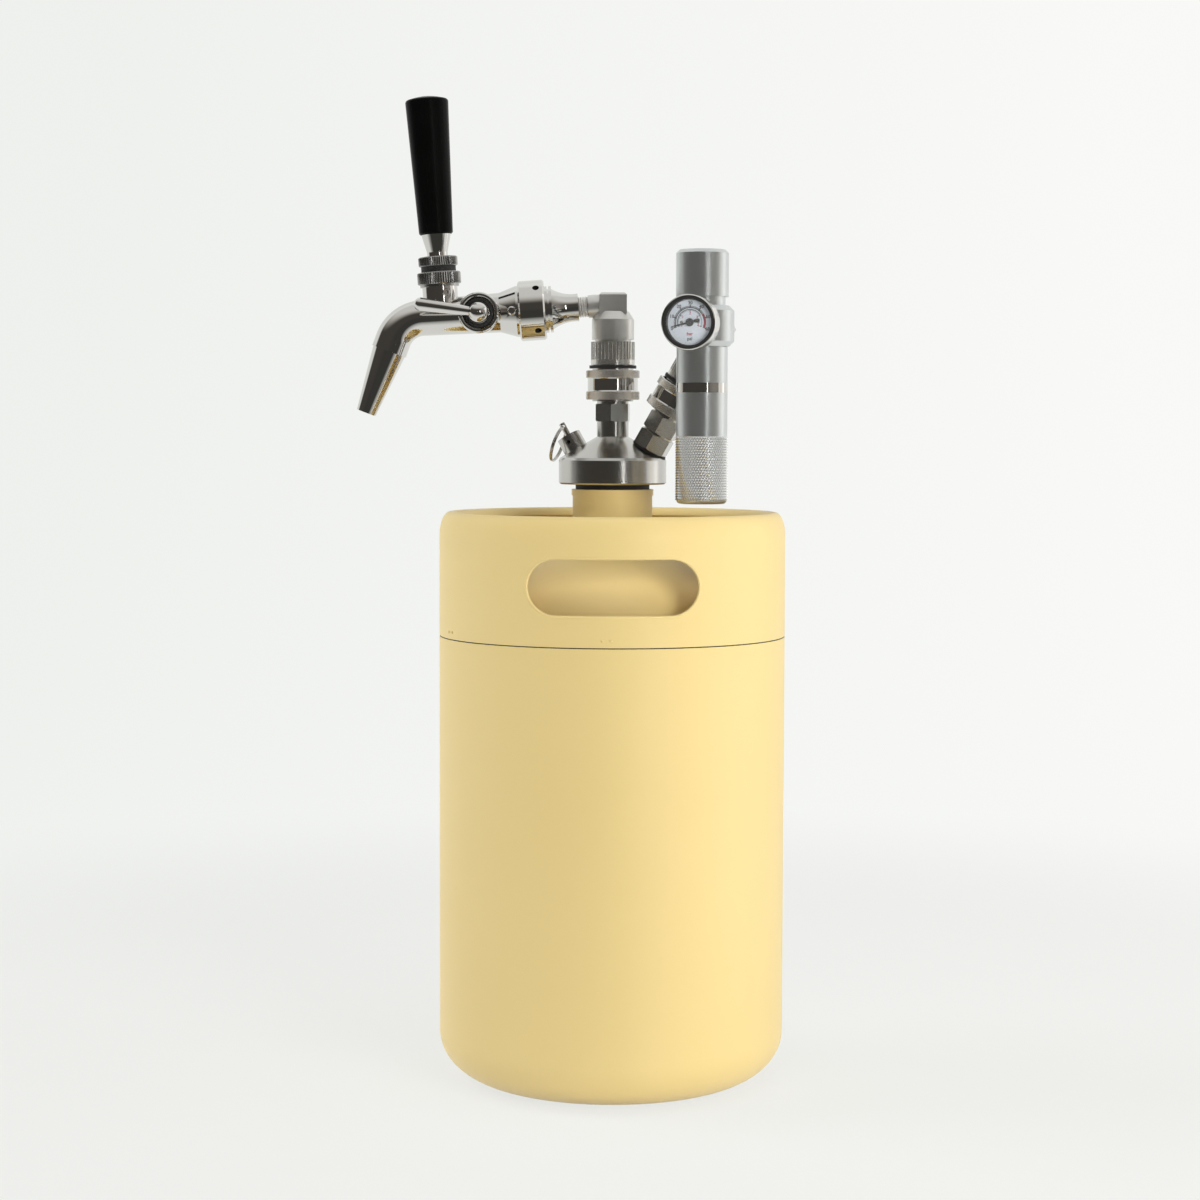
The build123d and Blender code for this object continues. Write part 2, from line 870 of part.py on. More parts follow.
def make_bonnet_cap():
    body = disc(bonnet_cap_radius, cap_bottom, cap_top)
    body -= taper(cap_throat_radius, cap_mouth_radius, cap_bottom, cap_top)
    pin_hole = Cylinder(lever_pin_radius + joint_clearance, bonnet_cap_radius * 3, rotation=(90, 0, 0))
    return at_lever(body - Pos(0, 0, lever_pivot) * pin_hole)


def make_lever_pin():
    length = (bonnet_cap_radius - lever_pin_inset) * 2
    return at_lever(Pos(0, 0, lever_pivot) * Cylinder(lever_pin_radius, length, rotation=(90, 0, 0)))


lever_neck_top = cap_top + lever_neck_length


def make_lever():
    """The pivot ball with its neck and the arm that drives the shuttle."""
    ball = Pos(0, 0, lever_pivot) * Sphere(lever_ball_radius)
    ball &= disc(lever_ball_radius, lever_pivot - lever_ball_radius, lever_neck_top)
    neck = disc(lever_neck_radius, lever_pivot, lever_neck_top)
    arm = disc(lever_arm_radius, -lever_arm_length, 0)
    arm += Pos(0, 0, -lever_arm_length) * Sphere(lever_tip_radius)
    arm = Rot(0, -handle_travel / 2, 0) * arm
    stud = disc(ferrule_stud_radius, lever_neck_top, lever_neck_top + ferrule_stud_length)
    body = ball + neck + Pos(0, 0, lever_pivot) * arm + stud
    pin_hole = Cylinder(lever_pin_radius + running_clearance, lever_ball_radius * 3, rotation=(90, 0, 0))
    return at_lever(body - Pos(0, 0, lever_pivot) * pin_hole)


def make_ferrule():
    top = lever_neck_top + ferrule_height
    body = taper(lever_neck_radius, ferrule_radius, lever_neck_top, top)
    return at_lever(body - disc(ferrule_stud_radius + joint_clearance, lever_neck_top, top))


def make_handle():
    bottom = lever_neck_top + ferrule_height
    top = bottom + handle_length
    crown = top - handle_dome
    dome_edge = handle_top_radius - handle_edge
    dome_radius_of_curve = (dome_edge**2 + handle_dome**2) / (2 * handle_dome)
    half_way = dome_edge / 2
    half_way_up = top - dome_radius_of_curve + sqrt(dome_radius_of_curve**2 - half_way**2)
    dome = ThreePointArc((dome_edge, crown), (half_way, half_way_up), (0, top))
    rounding = CenterArc((dome_edge, crown - handle_edge), handle_edge, 0, 90)
    outline = Polyline(
        dome @ 1,
        (0, bottom),
        (handle_bottom_radius - handle_edge / 2, bottom),
        (handle_bottom_radius, bottom + handle_edge / 2),
        rounding @ 0,
    )
    stud_top = lever_neck_top + ferrule_stud_length + moving_clearance
    stud_hole = disc(ferrule_stud_radius + joint_clearance, bottom, stud_top)
    return at_lever(turned(dome, rounding, outline) - stud_hole)


tip_reach = lever_arm_length * sin(radians(handle_travel / 2))
slot_half = lever_tip_radius + shuttle_play
shuttle_slot_start = lever_at + tip_reach - slot_half
shuttle_slot_end = lever_at + tip_reach + slot_half


def make_shuttle():
    radius = tap_bore_radius - moving_clearance
    rear = shuttle_slot_start - shuttle_disc
    front = shuttle_slot_end + shuttle_front
    body = Rot(0, 90, 0) * (
        disc(radius, rear, shuttle_slot_end) + disc(shuttle_seal_radius, shuttle_slot_end, front)
    )
    pocket = Pos(lever_at + tip_reach, 0, shuttle_floor) * Box(
        slot_half * 2, radius * 3, radius * 2, align=bottom_centre
    )
    return body - pocket


def make_shuttle_seal():
    start = shuttle_slot_end + (shuttle_front - shuttle_seal_height) / 2
    radius = tap_bore_radius - moving_clearance
    ring = sleeve(radius, shuttle_seal_radius + joint_clearance, start, start + shuttle_seal_height)
    return Rot(0, 90, 0) * ring


def at_flow(shape):
    """Place a shape, drawn up its Z axis, on the flow control's axis."""
    return Pos(flow_at, 0, 0) * Rot(-90, 0, 0) * shape


flow_front = flow_boss_reach + flow_collar_height


def make_flow_collar():
    body = turned_points(
        (flow_shaft_radius + running_clearance, flow_boss_reach),
        (flow_collar_radius, flow_boss_reach),
        (flow_collar_radius, flow_front - flow_collar_edge),
        (flow_collar_radius - flow_collar_edge, flow_front),
        (flow_recess_radius, flow_front),
        (flow_recess_radius, flow_front - flow_recess_depth),
        (flow_ball_radius + moving_clearance, flow_front - flow_recess_depth),
        (flow_ball_radius + moving_clearance, flow_front - flow_recess_depth * 2),
        (flow_shaft_radius + running_clearance, flow_front - flow_recess_depth * 2),
    )
    return at_flow(body)


def make_flow_lever():
    ball_at = flow_front + flow_ball_proud
    seat = flow_front - flow_recess_depth * 2 + moving_clearance
    hub = Pos(0, 0, ball_at) * Sphere(flow_ball_radius) & disc(flow_ball_radius * 2, seat, ball_at * 2)
    shaft = disc(flow_shaft_radius, 0, ball_at)
    paddle = disc(flow_paddle_radius, -flow_paddle_thickness / 2, flow_paddle_thickness / 2)
    paddle -= Pos(flow_paddle_radius, 0, 0) * Box(
        flow_paddle_radius * 2, flow_paddle_radius * 3, flow_paddle_thickness * 2
    )
    end = flow_lever_length - flow_lever_large_radius
    rod = taper(flow_lever_small_radius, flow_lever_large_radius, 0, end)
    rod += Pos(0, 0, end) * Sphere(flow_lever_large_radius)
    lever = Pos(0, 0, ball_at) * Rot(0, 0, -flow_lever_angle) * Rot(0, 90, 0) * rod
    return at_flow(hub + shaft + paddle + lever)


# Relief valve, in the frame of its seat

relief_stem_top = relief_height + relief_stem_proud
relief_eye = relief_stem_top - relief_eye_inset


def make_relief_body():
    body = disc(relief_radius, 0, relief_height)
    body += disc(port_thread_radius - joint_clearance, -adapter_spigot_length, 0)
    body -= disc(relief_bore_radius, relief_disc_at, relief_height - relief_roof)
    body -= disc(relief_stem_radius + moving_clearance / 2, relief_disc_at, relief_height)
    body -= disc(relief_stem_radius, -adapter_spigot_length, relief_disc_at)
    vent = Rot(0, 0, -90) * Rot(0, 90, 0) * disc(relief_vent_radius, 0, relief_radius * 2)
    return body - Pos(0, 0, relief_vent_height) * vent


def make_relief_stem():
    stem = disc(relief_stem_radius, relief_disc_at, relief_stem_top)
    stem += disc(relief_disc_radius, relief_disc_at, relief_disc_at + relief_disc_height)
    eye = Cylinder(relief_eye_radius, relief_stem_radius * 4, rotation=(90, 0, 0))
    return stem - Pos(0, 0, relief_eye) * eye


def make_relief_spring():
    room = relief_height - relief_roof - relief_disc_at - relief_disc_height - relief_lift
    length = room - moving_clearance / 2
    start = relief_height - relief_roof - length
    return coil(relief_spring_radius, relief_spring_wire, relief_spring_turns, start, length)


def make_pull_ring():
    coils = [
        Pos(0, 0, side * pull_ring_split) * Torus(pull_ring_radius, pull_ring_wire) for side in (-1, 1)
    ]
    ring = Pos(-pull_ring_radius, 0, 0) * (coils[0] + coils[1])
    return Pos(0, 0, relief_eye) * Rot(0, -90 + pull_ring_hang, 0) * ring


# Regulator, in its own frame

spigot_bottom = -regulator_below - regulator_spigot_length
holder_top = -regulator_below - holder_gap
holder_bottom = holder_top - holder_length
cartridge_bottom = holder_bottom + holder_floor + cartridge_clearance
cartridge_top = cartridge_bottom + cartridge_length
knob_bottom = regulator_above + knob_gap
neck_rim = regulator_above + regulator_neck_height


def make_regulator_body():
    block = disc(regulator_radius, -regulator_below, regulator_above)
    block = chamfer(block.edges().filter_by(GeomType.CIRCLE), regulator_edge)
    block += disc(regulator_neck_radius, regulator_above, neck_rim)
    block += disc(regulator_spigot_radius, spigot_bottom, -regulator_below)
    block -= disc(regulator_bore_radius, regulator_floor, neck_rim)
    block -= disc(cartridge_neck_radius + cartridge_clearance, spigot_bottom, cartridge_top + pierce_gap)
    block -= disc(pierce_radius + joint_clearance, cartridge_top, regulator_floor)
    port = disc(regulator_port_radius, regulator_radius - regulator_port_depth, regulator_radius * 2)
    gauge_bore = gauge_stem_radius + joint_clearance
    gauge_port = disc(gauge_bore, regulator_radius - gauge_stem_length, regulator_radius * 2)
    block -= Rot(-90, 0, 0) * (port + disc(outlet_bore_radius, 0, regulator_radius))
    return block - Pos(0, 0, gauge_rise) * Rot(90, 0, 0) * gauge_port


def make_piston():
    return disc(regulator_bore_radius - joint_clearance, regulator_floor, regulator_floor + piston_height)


def make_adjust_spring():
    start = regulator_floor + piston_height
    return coil(adjust_spring_radius, adjust_spring_wire, adjust_spring_turns, start, adjust_spring_length)


def make_knob():
    top = knob_bottom + knob_height
    body = turned_points(
        (0, knob_bottom),
        (knob_radius, knob_bottom),
        (knob_radius, top - knob_chamfer),
        (knob_radius - knob_chamfer, top),
        (0, top),
    )
    body -= disc(regulator_neck_radius + running_clearance, knob_bottom, top - knob_roof)
    screw_end = regulator_floor + piston_height + adjust_spring_length + moving_clearance
    return body + disc(knob_screw_radius, screw_end, top - knob_roof)


def make_pierce_pin():
    return disc(pierce_radius, cartridge_top + pierce_gap / 2, regulator_floor)


def make_holder():
    ring_bottom = holder_top - holder_ring_at - holder_ring_height
    knurl_top = holder_bottom + holder_knurl_length
    plain = holder_radius - holder_knurl_depth
    body = disc(holder_radius, holder_bottom, knurl_top) + disc(plain, knurl_top, holder_top)
    body = fillet(body.edges().group_by(Axis.Z)[0], holder_corner)
    groove = plain - holder_ring_depth
    body -= sleeve(holder_radius * 2, groove, ring_bottom, ring_bottom + holder_ring_height)
    body -= disc(holder_bore_radius, holder_bottom + holder_floor, holder_top)
    socket = regulator_spigot_radius + running_clearance
    return body - disc(socket, spigot_bottom - moving_clearance, holder_top)


def make_holder_ring():
    plain = holder_radius - holder_knurl_depth
    ring_bottom = holder_top - holder_ring_at - holder_ring_height
    groove = plain - holder_ring_depth + joint_clearance
    return sleeve(plain + holder_ring_proud, groove, ring_bottom, ring_bottom + holder_ring_height)


def make_cartridge():
    neck_start = cartridge_top - cartridge_neck_length
    shoulder = neck_start - cartridge_shoulder
    return turned_points(
        (0, cartridge_bottom),
        (cartridge_radius / 2, cartridge_bottom),
        (cartridge_radius, cartridge_bottom + cartridge_shoulder / 2),
        (cartridge_radius, shoulder),
        (cartridge_neck_radius, neck_start),
        (cartridge_neck_radius, cartridge_top),
        (0, cartridge_top),
    )


# Gauge, drawn up its Z axis towards the dial

gauge_back = regulator_radius + gauge_stand_off
gauge_front = gauge_back + gauge_depth
bezel_back = gauge_front - bezel_height
lens_back = gauge_front - bezel_front - lens_height
dial_front = lens_back - dial_gap
dial_back = dial_front - dial_height


def make_gauge_case():
    body = disc(gauge_case_radius, gauge_back, bezel_back)
    stem_start = regulator_radius - gauge_stem_length
    body += disc(gauge_stem_radius, stem_start, gauge_back)
    body -= disc(gauge_case_radius - gauge_wall, gauge_back + gauge_wall, bezel_back)
    shelf = sleeve(gauge_case_radius, gauge_case_radius - gauge_wall * 2, gauge_back, dial_back)
    boss_top = dial_back - moving_clearance
    boss = disc(needle_hub_radius * 2, gauge_back, boss_top)
    boss -= disc(needle_shaft_radius + running_clearance, dial_back - needle_shaft_length * 2, boss_top)
    return body + (shelf & disc(gauge_case_radius, gauge_back, bezel_back)) + boss


def make_gauge_bezel():
    lens_edge = gauge_radius - bezel_lip / 2
    return turned_points(
        (lens_edge, bezel_back),
        (gauge_radius, bezel_back),
        (gauge_radius, gauge_front - bezel_front),
        (gauge_radius - bezel_front, gauge_front),
        (gauge_radius - bezel_lip, gauge_front),
        (gauge_radius - bezel_lip, gauge_front - bezel_front),
        (lens_edge, gauge_front - bezel_front),
    )


def make_gauge_lens():
    radius = gauge_radius - bezel_lip / 2 - joint_clearance
    return disc(radius, lens_back, gauge_front - bezel_front)


def make_gauge_dial():
    radius = gauge_case_radius - gauge_wall - joint_clearance
    return sleeve(radius, needle_shaft_radius + running_clearance, dial_back, dial_front)


def make_gauge_needle():
    bottom = dial_front + moving_clearance
    blade = Pos((needle_length - needle_tail) / 2, 0, bottom) * Box(
        needle_length + needle_tail, needle_width, needle_height, align=bottom_centre
    )
    hub = disc(needle_hub_radius, bottom, bottom + needle_height * 2)
    shaft = disc(needle_shaft_radius, bottom - needle_shaft_length, bottom)
    return Rot(0, 0, needle_angle) * (blade + hub + shaft)


# Build and write every piece

liquid_elbow_frame = Pos(0, 0, outlet_height) * Rot(0, -tap_droop, 0) * Rot(0, 0, 180)
gas_elbow_frame = Pos(0, 0, outlet_height) * Rot(0, 0, -90)
tap_nipple_end = shank_flange_end - nut_lip * 2
gas_nipple_end = regulator_reach - regulator_radius + regulator_port_depth

pieces = {
    "outer_shell": make_outer_shell(),
    "base_disc": make_base_disc(),
    "inner_vessel": make_inner_vessel(),
    "shoulder_dome": make_shoulder_dome(),
    "top_collar": make_top_collar(),
    "neck": make_neck(),
    "lid_cap": make_lid_cap(),
    "lid_seal": make_lid_seal(),
    "dip_tube": make_dip_tube(),
    "liquid_post": liquid_place * make_post(liquid_hex_turn),
    "gas_post": gas_place * make_post(gas_hex_turn),
    "gas_adapter": gas_seat * make_adapter(),
    "gas_washer": gas_seat * make_washer(),
    "post_poppets": Compound([place * make_poppet() for place in (liquid_place, gas_place)]),
    "poppet_springs": Compound([place * make_poppet_spring() for place in (liquid_place, gas_place)]),
    "relief_body": relief_seat * make_relief_body(),
    "relief_stem": relief_seat * make_relief_stem(),
    "relief_spring": relief_seat * make_relief_spring(),
    "pull_ring": relief_seat * make_pull_ring(),
    "liquid_elbow": liquid_place * make_elbow(liquid_elbow_frame, tap_nipple_end),
    "gas_elbow": gas_place * make_elbow(gas_elbow_frame, gas_nipple_end),
    "tap_shank": tap_place * make_tap_shank(),
    "coupling_nut": tap_place * make_coupling_nut(),
    "tap_body": tap_place * make_tap_body(),
    "spout_nozzle": tap_place * make_nozzle(),
    "bonnet": tap_place * make_bonnet(),
    "bonnet_gasket": tap_place * make_bonnet_gasket(),
    "bonnet_cap": tap_place * make_bonnet_cap(),
    "lever_pin": tap_place * make_lever_pin(),
    "lever": tap_place * make_lever(),
    "handle_ferrule": tap_place * make_ferrule(),
    "tap_handle": tap_place * make_handle(),
    "shuttle": tap_place * make_shuttle(),
    "shuttle_seal": tap_place * make_shuttle_seal(),
    "flow_collar": tap_place * make_flow_collar(),
    "flow_lever": tap_place * make_flow_lever(),
    "regulator_body": regulator_place * make_regulator_body(),
    "regulator_piston": regulator_place * make_piston(),
    "adjust_spring": regulator_place * make_adjust_spring(),
    "regulator_knob": regulator_place * make_knob(),
    "pierce_pin": regulator_place * make_pierce_pin(),
    "cartridge_holder": regulator_place * make_holder(),
    "holder_ring": regulator_place * make_holder_ring(),
    "gas_cartridge": regulator_place * make_cartridge(),
    "gauge_case": gauge_place * make_gauge_case(),
    "gauge_bezel": gauge_place * make_gauge_bezel(),
    "gauge_lens": gauge_place * make_gauge_lens(),
    "gauge_dial": gauge_place * make_gauge_dial(),
    "gauge_needle": gauge_place * make_gauge_needle(),
}
for side, place in (("liquid", liquid_place), ("gas", gas_place)):
    pieces[side + "_coupler"] = place * make_coupler()
    pieces[side + "_lock_balls"] = place * make_lock_balls()
    pieces[side + "_lock_collar"] = place * make_lock_collar()
    pieces[side + "_wiper"] = place * make_wiper()
    pieces[side + "_cup"] = place * make_cup()

os.makedirs("parts", exist_ok=True)
for name, shape in pieces.items():
    export_step(shape, f"parts/{name}.step")
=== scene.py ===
# %% [markdown]
# # An insulated mini keg
#
# A cream, double-walled keg stands on a pale floor. A screw lid carries a lever tap on the left,
# a small relief valve, and a gas regulator with its gauge on the right.
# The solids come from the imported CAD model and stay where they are. This lesson gives them their
# finishes, and rebuilds the few pieces that need a finer shape than the CAD gives them: the knurled
# collars and cartridge holder, the ribbed rings, the flow control's rim, and the gauge's rim and
# needle. It also adds small trim, such as the dial print, screws, a thread, the weld pips, the dark
# seam and the rolled edges of the slots.

# %% Load the frame
import json
import math

import bpy
from mathutils import Matrix, Vector


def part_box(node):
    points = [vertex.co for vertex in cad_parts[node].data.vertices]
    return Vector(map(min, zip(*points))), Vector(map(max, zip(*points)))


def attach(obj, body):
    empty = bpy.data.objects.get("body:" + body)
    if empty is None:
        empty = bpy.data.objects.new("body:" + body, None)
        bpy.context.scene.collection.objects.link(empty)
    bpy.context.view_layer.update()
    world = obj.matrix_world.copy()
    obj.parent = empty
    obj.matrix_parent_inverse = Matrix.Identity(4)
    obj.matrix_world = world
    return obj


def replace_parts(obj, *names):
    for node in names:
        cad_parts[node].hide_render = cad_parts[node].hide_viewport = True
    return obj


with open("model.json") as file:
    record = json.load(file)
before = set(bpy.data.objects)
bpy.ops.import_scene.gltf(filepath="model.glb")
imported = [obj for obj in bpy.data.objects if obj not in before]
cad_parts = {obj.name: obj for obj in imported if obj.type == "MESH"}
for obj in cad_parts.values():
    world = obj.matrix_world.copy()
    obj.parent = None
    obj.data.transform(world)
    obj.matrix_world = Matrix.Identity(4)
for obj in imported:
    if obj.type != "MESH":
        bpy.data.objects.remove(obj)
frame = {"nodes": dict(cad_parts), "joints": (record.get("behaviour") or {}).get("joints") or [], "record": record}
nodes = frame["nodes"]
joints = {joint["name"]: joint for joint in frame["joints"]}
slot_of = {row["node"]: row["material_slot"] for row in frame["record"]["subparts"]}
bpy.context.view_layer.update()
MM = 0.001

# %% [markdown]
# ## Working places
#
# Each sub-assembly was turned on its own axis, so it helps to work in its own frame: Z up the
# turning axis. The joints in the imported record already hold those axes, so nothing is typed twice.
# `extent` measures a node in such a frame, and `span` gives the ends and the radius of a turned one.

# %% Places of the sub-assemblies
def place_at(origin, z_axis, x_hint=(1, 0, 0)):
    """A frame with its Z along z_axis and its X as near to x_hint as it can be."""
    z = Vector(z_axis).normalized()
    x = Vector(x_hint)
    x = (x - z * x.dot(z)).normalized()
    y = z.cross(x)
    turned = Matrix((x, y, z)).transposed().to_4x4()
    return Matrix.Translation(Vector(origin)) @ turned


def extent(node, place):
    """Lowest and highest corner of a node in a frame of its own, in metres."""
    inside = place.inverted()
    points = [inside @ vertex.co for vertex in nodes[node].data.vertices]
    low = Vector([min(point[axis] for point in points) for axis in range(3)])
    high = Vector([max(point[axis] for point in points) for axis in range(3)])
    return low, high


def span(node, place):
    """Bottom, top and radius of a node turned about a frame's Z axis, in millimetres."""
    low, high = extent(node, place)
    return low.z / MM, high.z / MM, high.x / MM


def on_joint(name):
    """The frame of a joint, with Z along its axis."""
    return place_at(joints[name]["pos_m"], joints[name]["axis"])


liquid_place = on_joint("tap_swivel")
gas_place = on_joint("regulator_swivel")
regulator_place = on_joint("knob_turn")
gauge_place = on_joint("needle_turn")
tap_rear = Vector(joints["shuttle_slide"]["axis"])
flow_at = Vector(joints["flow_turn"]["pos_m"])
tap_origin = flow_at - tap_rear * (flow_at.x / tap_rear.x)
tap_up = Vector((0, 0, 1)) - tap_rear * tap_rear.z
lever_pivot = Vector(joints["handle_tilt"]["pos_m"])
bonnet_place = place_at(lever_pivot, tap_up)
print("tap origin:", tuple(tap_origin), "gauge at:", tuple(gauge_place.translation))

# %% [markdown]
# ## Camera
#
# The photograph was taken almost level with the neck, from well back, so the keg shows little
# perspective. The camera is set first, because every later choice is judged through it.

# %% Camera
camera_data = bpy.data.cameras.new("camera")
camera_data.sensor_width = 36.0
camera_data.lens = 78.0
camera_data.clip_start = 0.01
camera_data.clip_end = 50.0
CAMERA_PITCH = 3.75
CAMERA_ROLL = -0.16
camera = bpy.data.objects.new("camera", camera_data)
camera.location = (-6.23 * MM, -1279.4 * MM, 320.9 * MM)
camera.rotation_euler = (math.radians(90 - CAMERA_PITCH), math.radians(CAMERA_ROLL), 0)
bpy.context.scene.collection.objects.link(camera)
bpy.context.scene.camera = camera
bpy.context.scene.view_settings.view_transform = "Standard"
print("camera:", tuple(camera.location), "lens", camera_data.lens)

# %% [markdown]
# ## Shader maths as expressions
#
# A finish is a tree of nodes. Written out link by link it is hard to read, so one small class wraps
# a socket and lets Python's own operators add the Math nodes. A few functions add the other nodes
# that come up often, and `Finish.add` makes any node of a material.

# %% The socket class and the finish class
class Value:
    """A socket of a node tree that can be used in arithmetic."""

    def __init__(self, tree, socket):
        self.tree = tree
        self.socket = socket

    def maths(self, operation, *others):
        node = self.tree.nodes.new("ShaderNodeMath")
        node.operation = operation
        for index, other in enumerate(others):
            plug(self.tree, node.inputs[index], other)
        return Value(self.tree, node.outputs[0])

    def __add__(self, other):
        return self.maths("ADD", self, other)

    def __radd__(self, other):
        return self.maths("ADD", other, self)

    def __sub__(self, other):
        return self.maths("SUBTRACT", self, other)

    def __rsub__(self, other):
        return self.maths("SUBTRACT", other, self)

    def __mul__(self, other):
        return self.maths("MULTIPLY", self, other)

    def __rmul__(self, other):
        return self.maths("MULTIPLY", other, self)

    def __pow__(self, other):
        return self.maths("POWER", self, other)


def plug(tree, socket, value):
    """Link a wrapped socket, or set a constant."""
    if isinstance(value, Value):
        tree.links.new(value.socket, socket)
    else:
        socket.default_value = value


def axes_of(tree, vector):
    """The x, y and z of a vector."""
    split = tree.nodes.new("ShaderNodeSeparateXYZ")
    plug(tree, split.inputs[0], vector)
    return [Value(tree, socket) for socket in split.outputs]


def smooth_rise(tree, value, start, end):
    """Rises smoothly from 0 to 1 as a value goes from start to end."""
    node = tree.nodes.new("ShaderNodeMapRange")
    node.interpolation_type = "SMOOTHSTEP"
    for name, setting in (("Value", value), ("From Min", start), ("From Max", end)):
        plug(tree, node.inputs[name], setting)
    return Value(tree, node.outputs[0])


COLOUR_A, COLOUR_B, COLOUR_RESULT = 6, 7, 2


def mix_colours(tree, factor, first, second):
    """A colour between two colours."""
    node = tree.nodes.new("ShaderNodeMix")
    node.data_type = "RGBA"
    plug(tree, node.inputs["Factor"], factor)
    plug(tree, node.inputs[COLOUR_A], first)
    plug(tree, node.inputs[COLOUR_B], second)
    return Value(tree, node.outputs[COLOUR_RESULT])


class Finish:
    """A material with one Principled shader and helpers for what feeds it."""

    def __init__(self, name, **constants):
        self.material = bpy.data.materials.new(name)
        self.material.use_nodes = True
        self.tree = self.material.node_tree
        self.tree.nodes.clear()
        self.output = self.tree.nodes.new("ShaderNodeOutputMaterial")
        self.shader = self.tree.nodes.new("ShaderNodeBsdfPrincipled")
        self.tree.links.new(self.shader.outputs["BSDF"], self.output.inputs["Surface"])
        self.set(**constants)

    def set(self, **values):
        """Set or link the shader's sockets; an underscore stands for a space."""
        for name, value in values.items():
            plug(self.tree, self.shader.inputs[name.replace("_", " ")], value)

    def add(self, kind, settings=None, values=None, output=0):
        """Add a node: its settings first, then its sockets, and return one of its outputs."""
        node = self.tree.nodes.new(kind)
        for name, value in (settings or {}).items():
            setattr(node, name, value)
        for name, value in (values or {}).items():
            plug(self.tree, node.inputs[name], value)
        return Value(self.tree, node.outputs[output])

    def point(self):
        """Where the surface is, in the object's own coordinates."""
        return self.add("ShaderNodeTexCoord", output="Object")

    def noise(self, scale, detail, vector=None):
        """Soft random variation from 0 to 1."""
        where = self.point() if vector is None else vector
        return self.add("ShaderNodeTexNoise", {}, {"Vector": where, "Scale": scale, "Detail": detail})

    def mix(self, factor, first, second):
        return mix_colours(self.tree, factor, first, second)

    def bump(self, height, strength, distance):
        """Feed a height into the shader's normal."""
        sockets = {"Height": height, "Strength": strength, "Distance": distance}
        self.set(Normal=self.add("ShaderNodeBump", {}, sockets))


finishes = {}


def grained(name, noise, light, dark, roughness, bump=None, **constants):
    """A finish that follows one noise.

    noise is its scale and detail, roughness a base and a range, bump a strength and millimetres.
    """
    finish = Finish(name, **constants)
    grain = finish.noise(*noise)
    base, spread = roughness
    finish.set(Base_Color=finish.mix(grain, (*light, 1), (*dark, 1)), Roughness=base + spread * grain)
    if bump:
        strength, depth = bump
        finish.bump(grain, strength, depth * MM)
    finishes[name] = finish.material


print("shader helpers ready")

# %% [markdown]
# ## Powder coat
#
# The keg is sprayed with a matt powder and baked. Real powder coat has a fine orange-peel skin and
# tiny differences of gloss. A smooth paint would look like plastic, so a fine noise feeds the bump
# and the roughness, and a broad one makes a very weak difference of colour.

# %% Powder coat
def powder_coat():
    finish = Finish("powder_coat", Specular_IOR_Level=0.6)
    peel = finish.noise(1500.0, 2.0)
    broad = finish.noise(14.0, 3.0)
    cream = (0.81, 0.635, 0.285, 1)
    deep_cream = (0.79, 0.615, 0.265, 1)
    finish.set(Base_Color=finish.mix(broad, cream, deep_cream))
    finish.set(Roughness=0.4 + 0.1 * peel)
    finish.bump(peel, 0.16, 0.15 * MM)
    return finish.material


finishes["powder_coat"] = powder_coat()
print("powder coat made")

# %% [markdown]
# ## Steel and aluminium
#
# Most fittings are stainless steel. The lid and the posts are turned, so fine rings run round their
# axis. The elbows are cast and bead blasted, so they are grey and grainy. The tap is mirror polished,
# with a faint haze. The regulator is satin aluminium. Knurled, ribbed, drawn and plated surfaces have
# a plain grain. Blasted, satin and knurled metal scatters light among its tiny facets, so those
# finishes have a Metallic below 1, which lets some soft light in.

# %% Steel
RING_FINENESS = 5200.0


def rings_about(finish, place):
    """Noise that runs in rings round a frame's Z axis, as a lathe tool leaves it."""
    inverse = place.inverted()
    local = finish.add(
        "ShaderNodeMapping",
        {"vector_type": "POINT"},
        {"Vector": finish.point(), "Location": inverse.translation, "Rotation": inverse.to_euler()},
    )
    x, y, z = axes_of(finish.tree, local)
    radius = (x * x + y * y) ** 0.5
    rings = finish.add("ShaderNodeCombineXYZ", {}, {"X": radius, "Y": z})
    return finish.noise(RING_FINENESS, 2.0, rings)


def turned_metal(name, place, metallic, smudge_scale, light, dark, roughness, bump):
    """A finish with lathe rings; roughness is a base and the share of the rings."""
    finish = Finish(name, Metallic=metallic)
    rings = rings_about(finish, place)
    smudge = finish.noise(smudge_scale, 3.0)
    base, ring_share = roughness
    finish.set(Base_Color=finish.mix(smudge, (*light, 1), (*dark, 1)))
    finish.set(Roughness=base + ring_share * rings + 0.05 * smudge)
    finish.bump(rings, bump, 0.02 * MM)
    return finish.material


def cast_steel():
    finish = Finish("cast_steel", Metallic=0.75)
    grain = finish.noise(1500.0, 2.0)
    patch = finish.noise(140.0, 4.0)
    finish.set(Base_Color=finish.mix(patch, (0.74, 0.73, 0.70, 1), (0.58, 0.57, 0.545, 1)))
    finish.set(Roughness=0.24 + 0.16 * patch)
    finish.bump(grain + 0.6 * patch, 0.34, 0.14 * MM)
    return finish.material


TURNED = (1.0, 60.0, (0.60, 0.585, 0.555), (0.516, 0.5031, 0.4773), (0.14, 0.1), 0.05)
finishes["turned_steel"] = turned_metal("turned_steel", Matrix.Identity(4), *TURNED)
finishes["cast_steel"] = cast_steel()
gas_steel = turned_metal("gas_steel", gas_place, *TURNED)
print("steel finishes made")

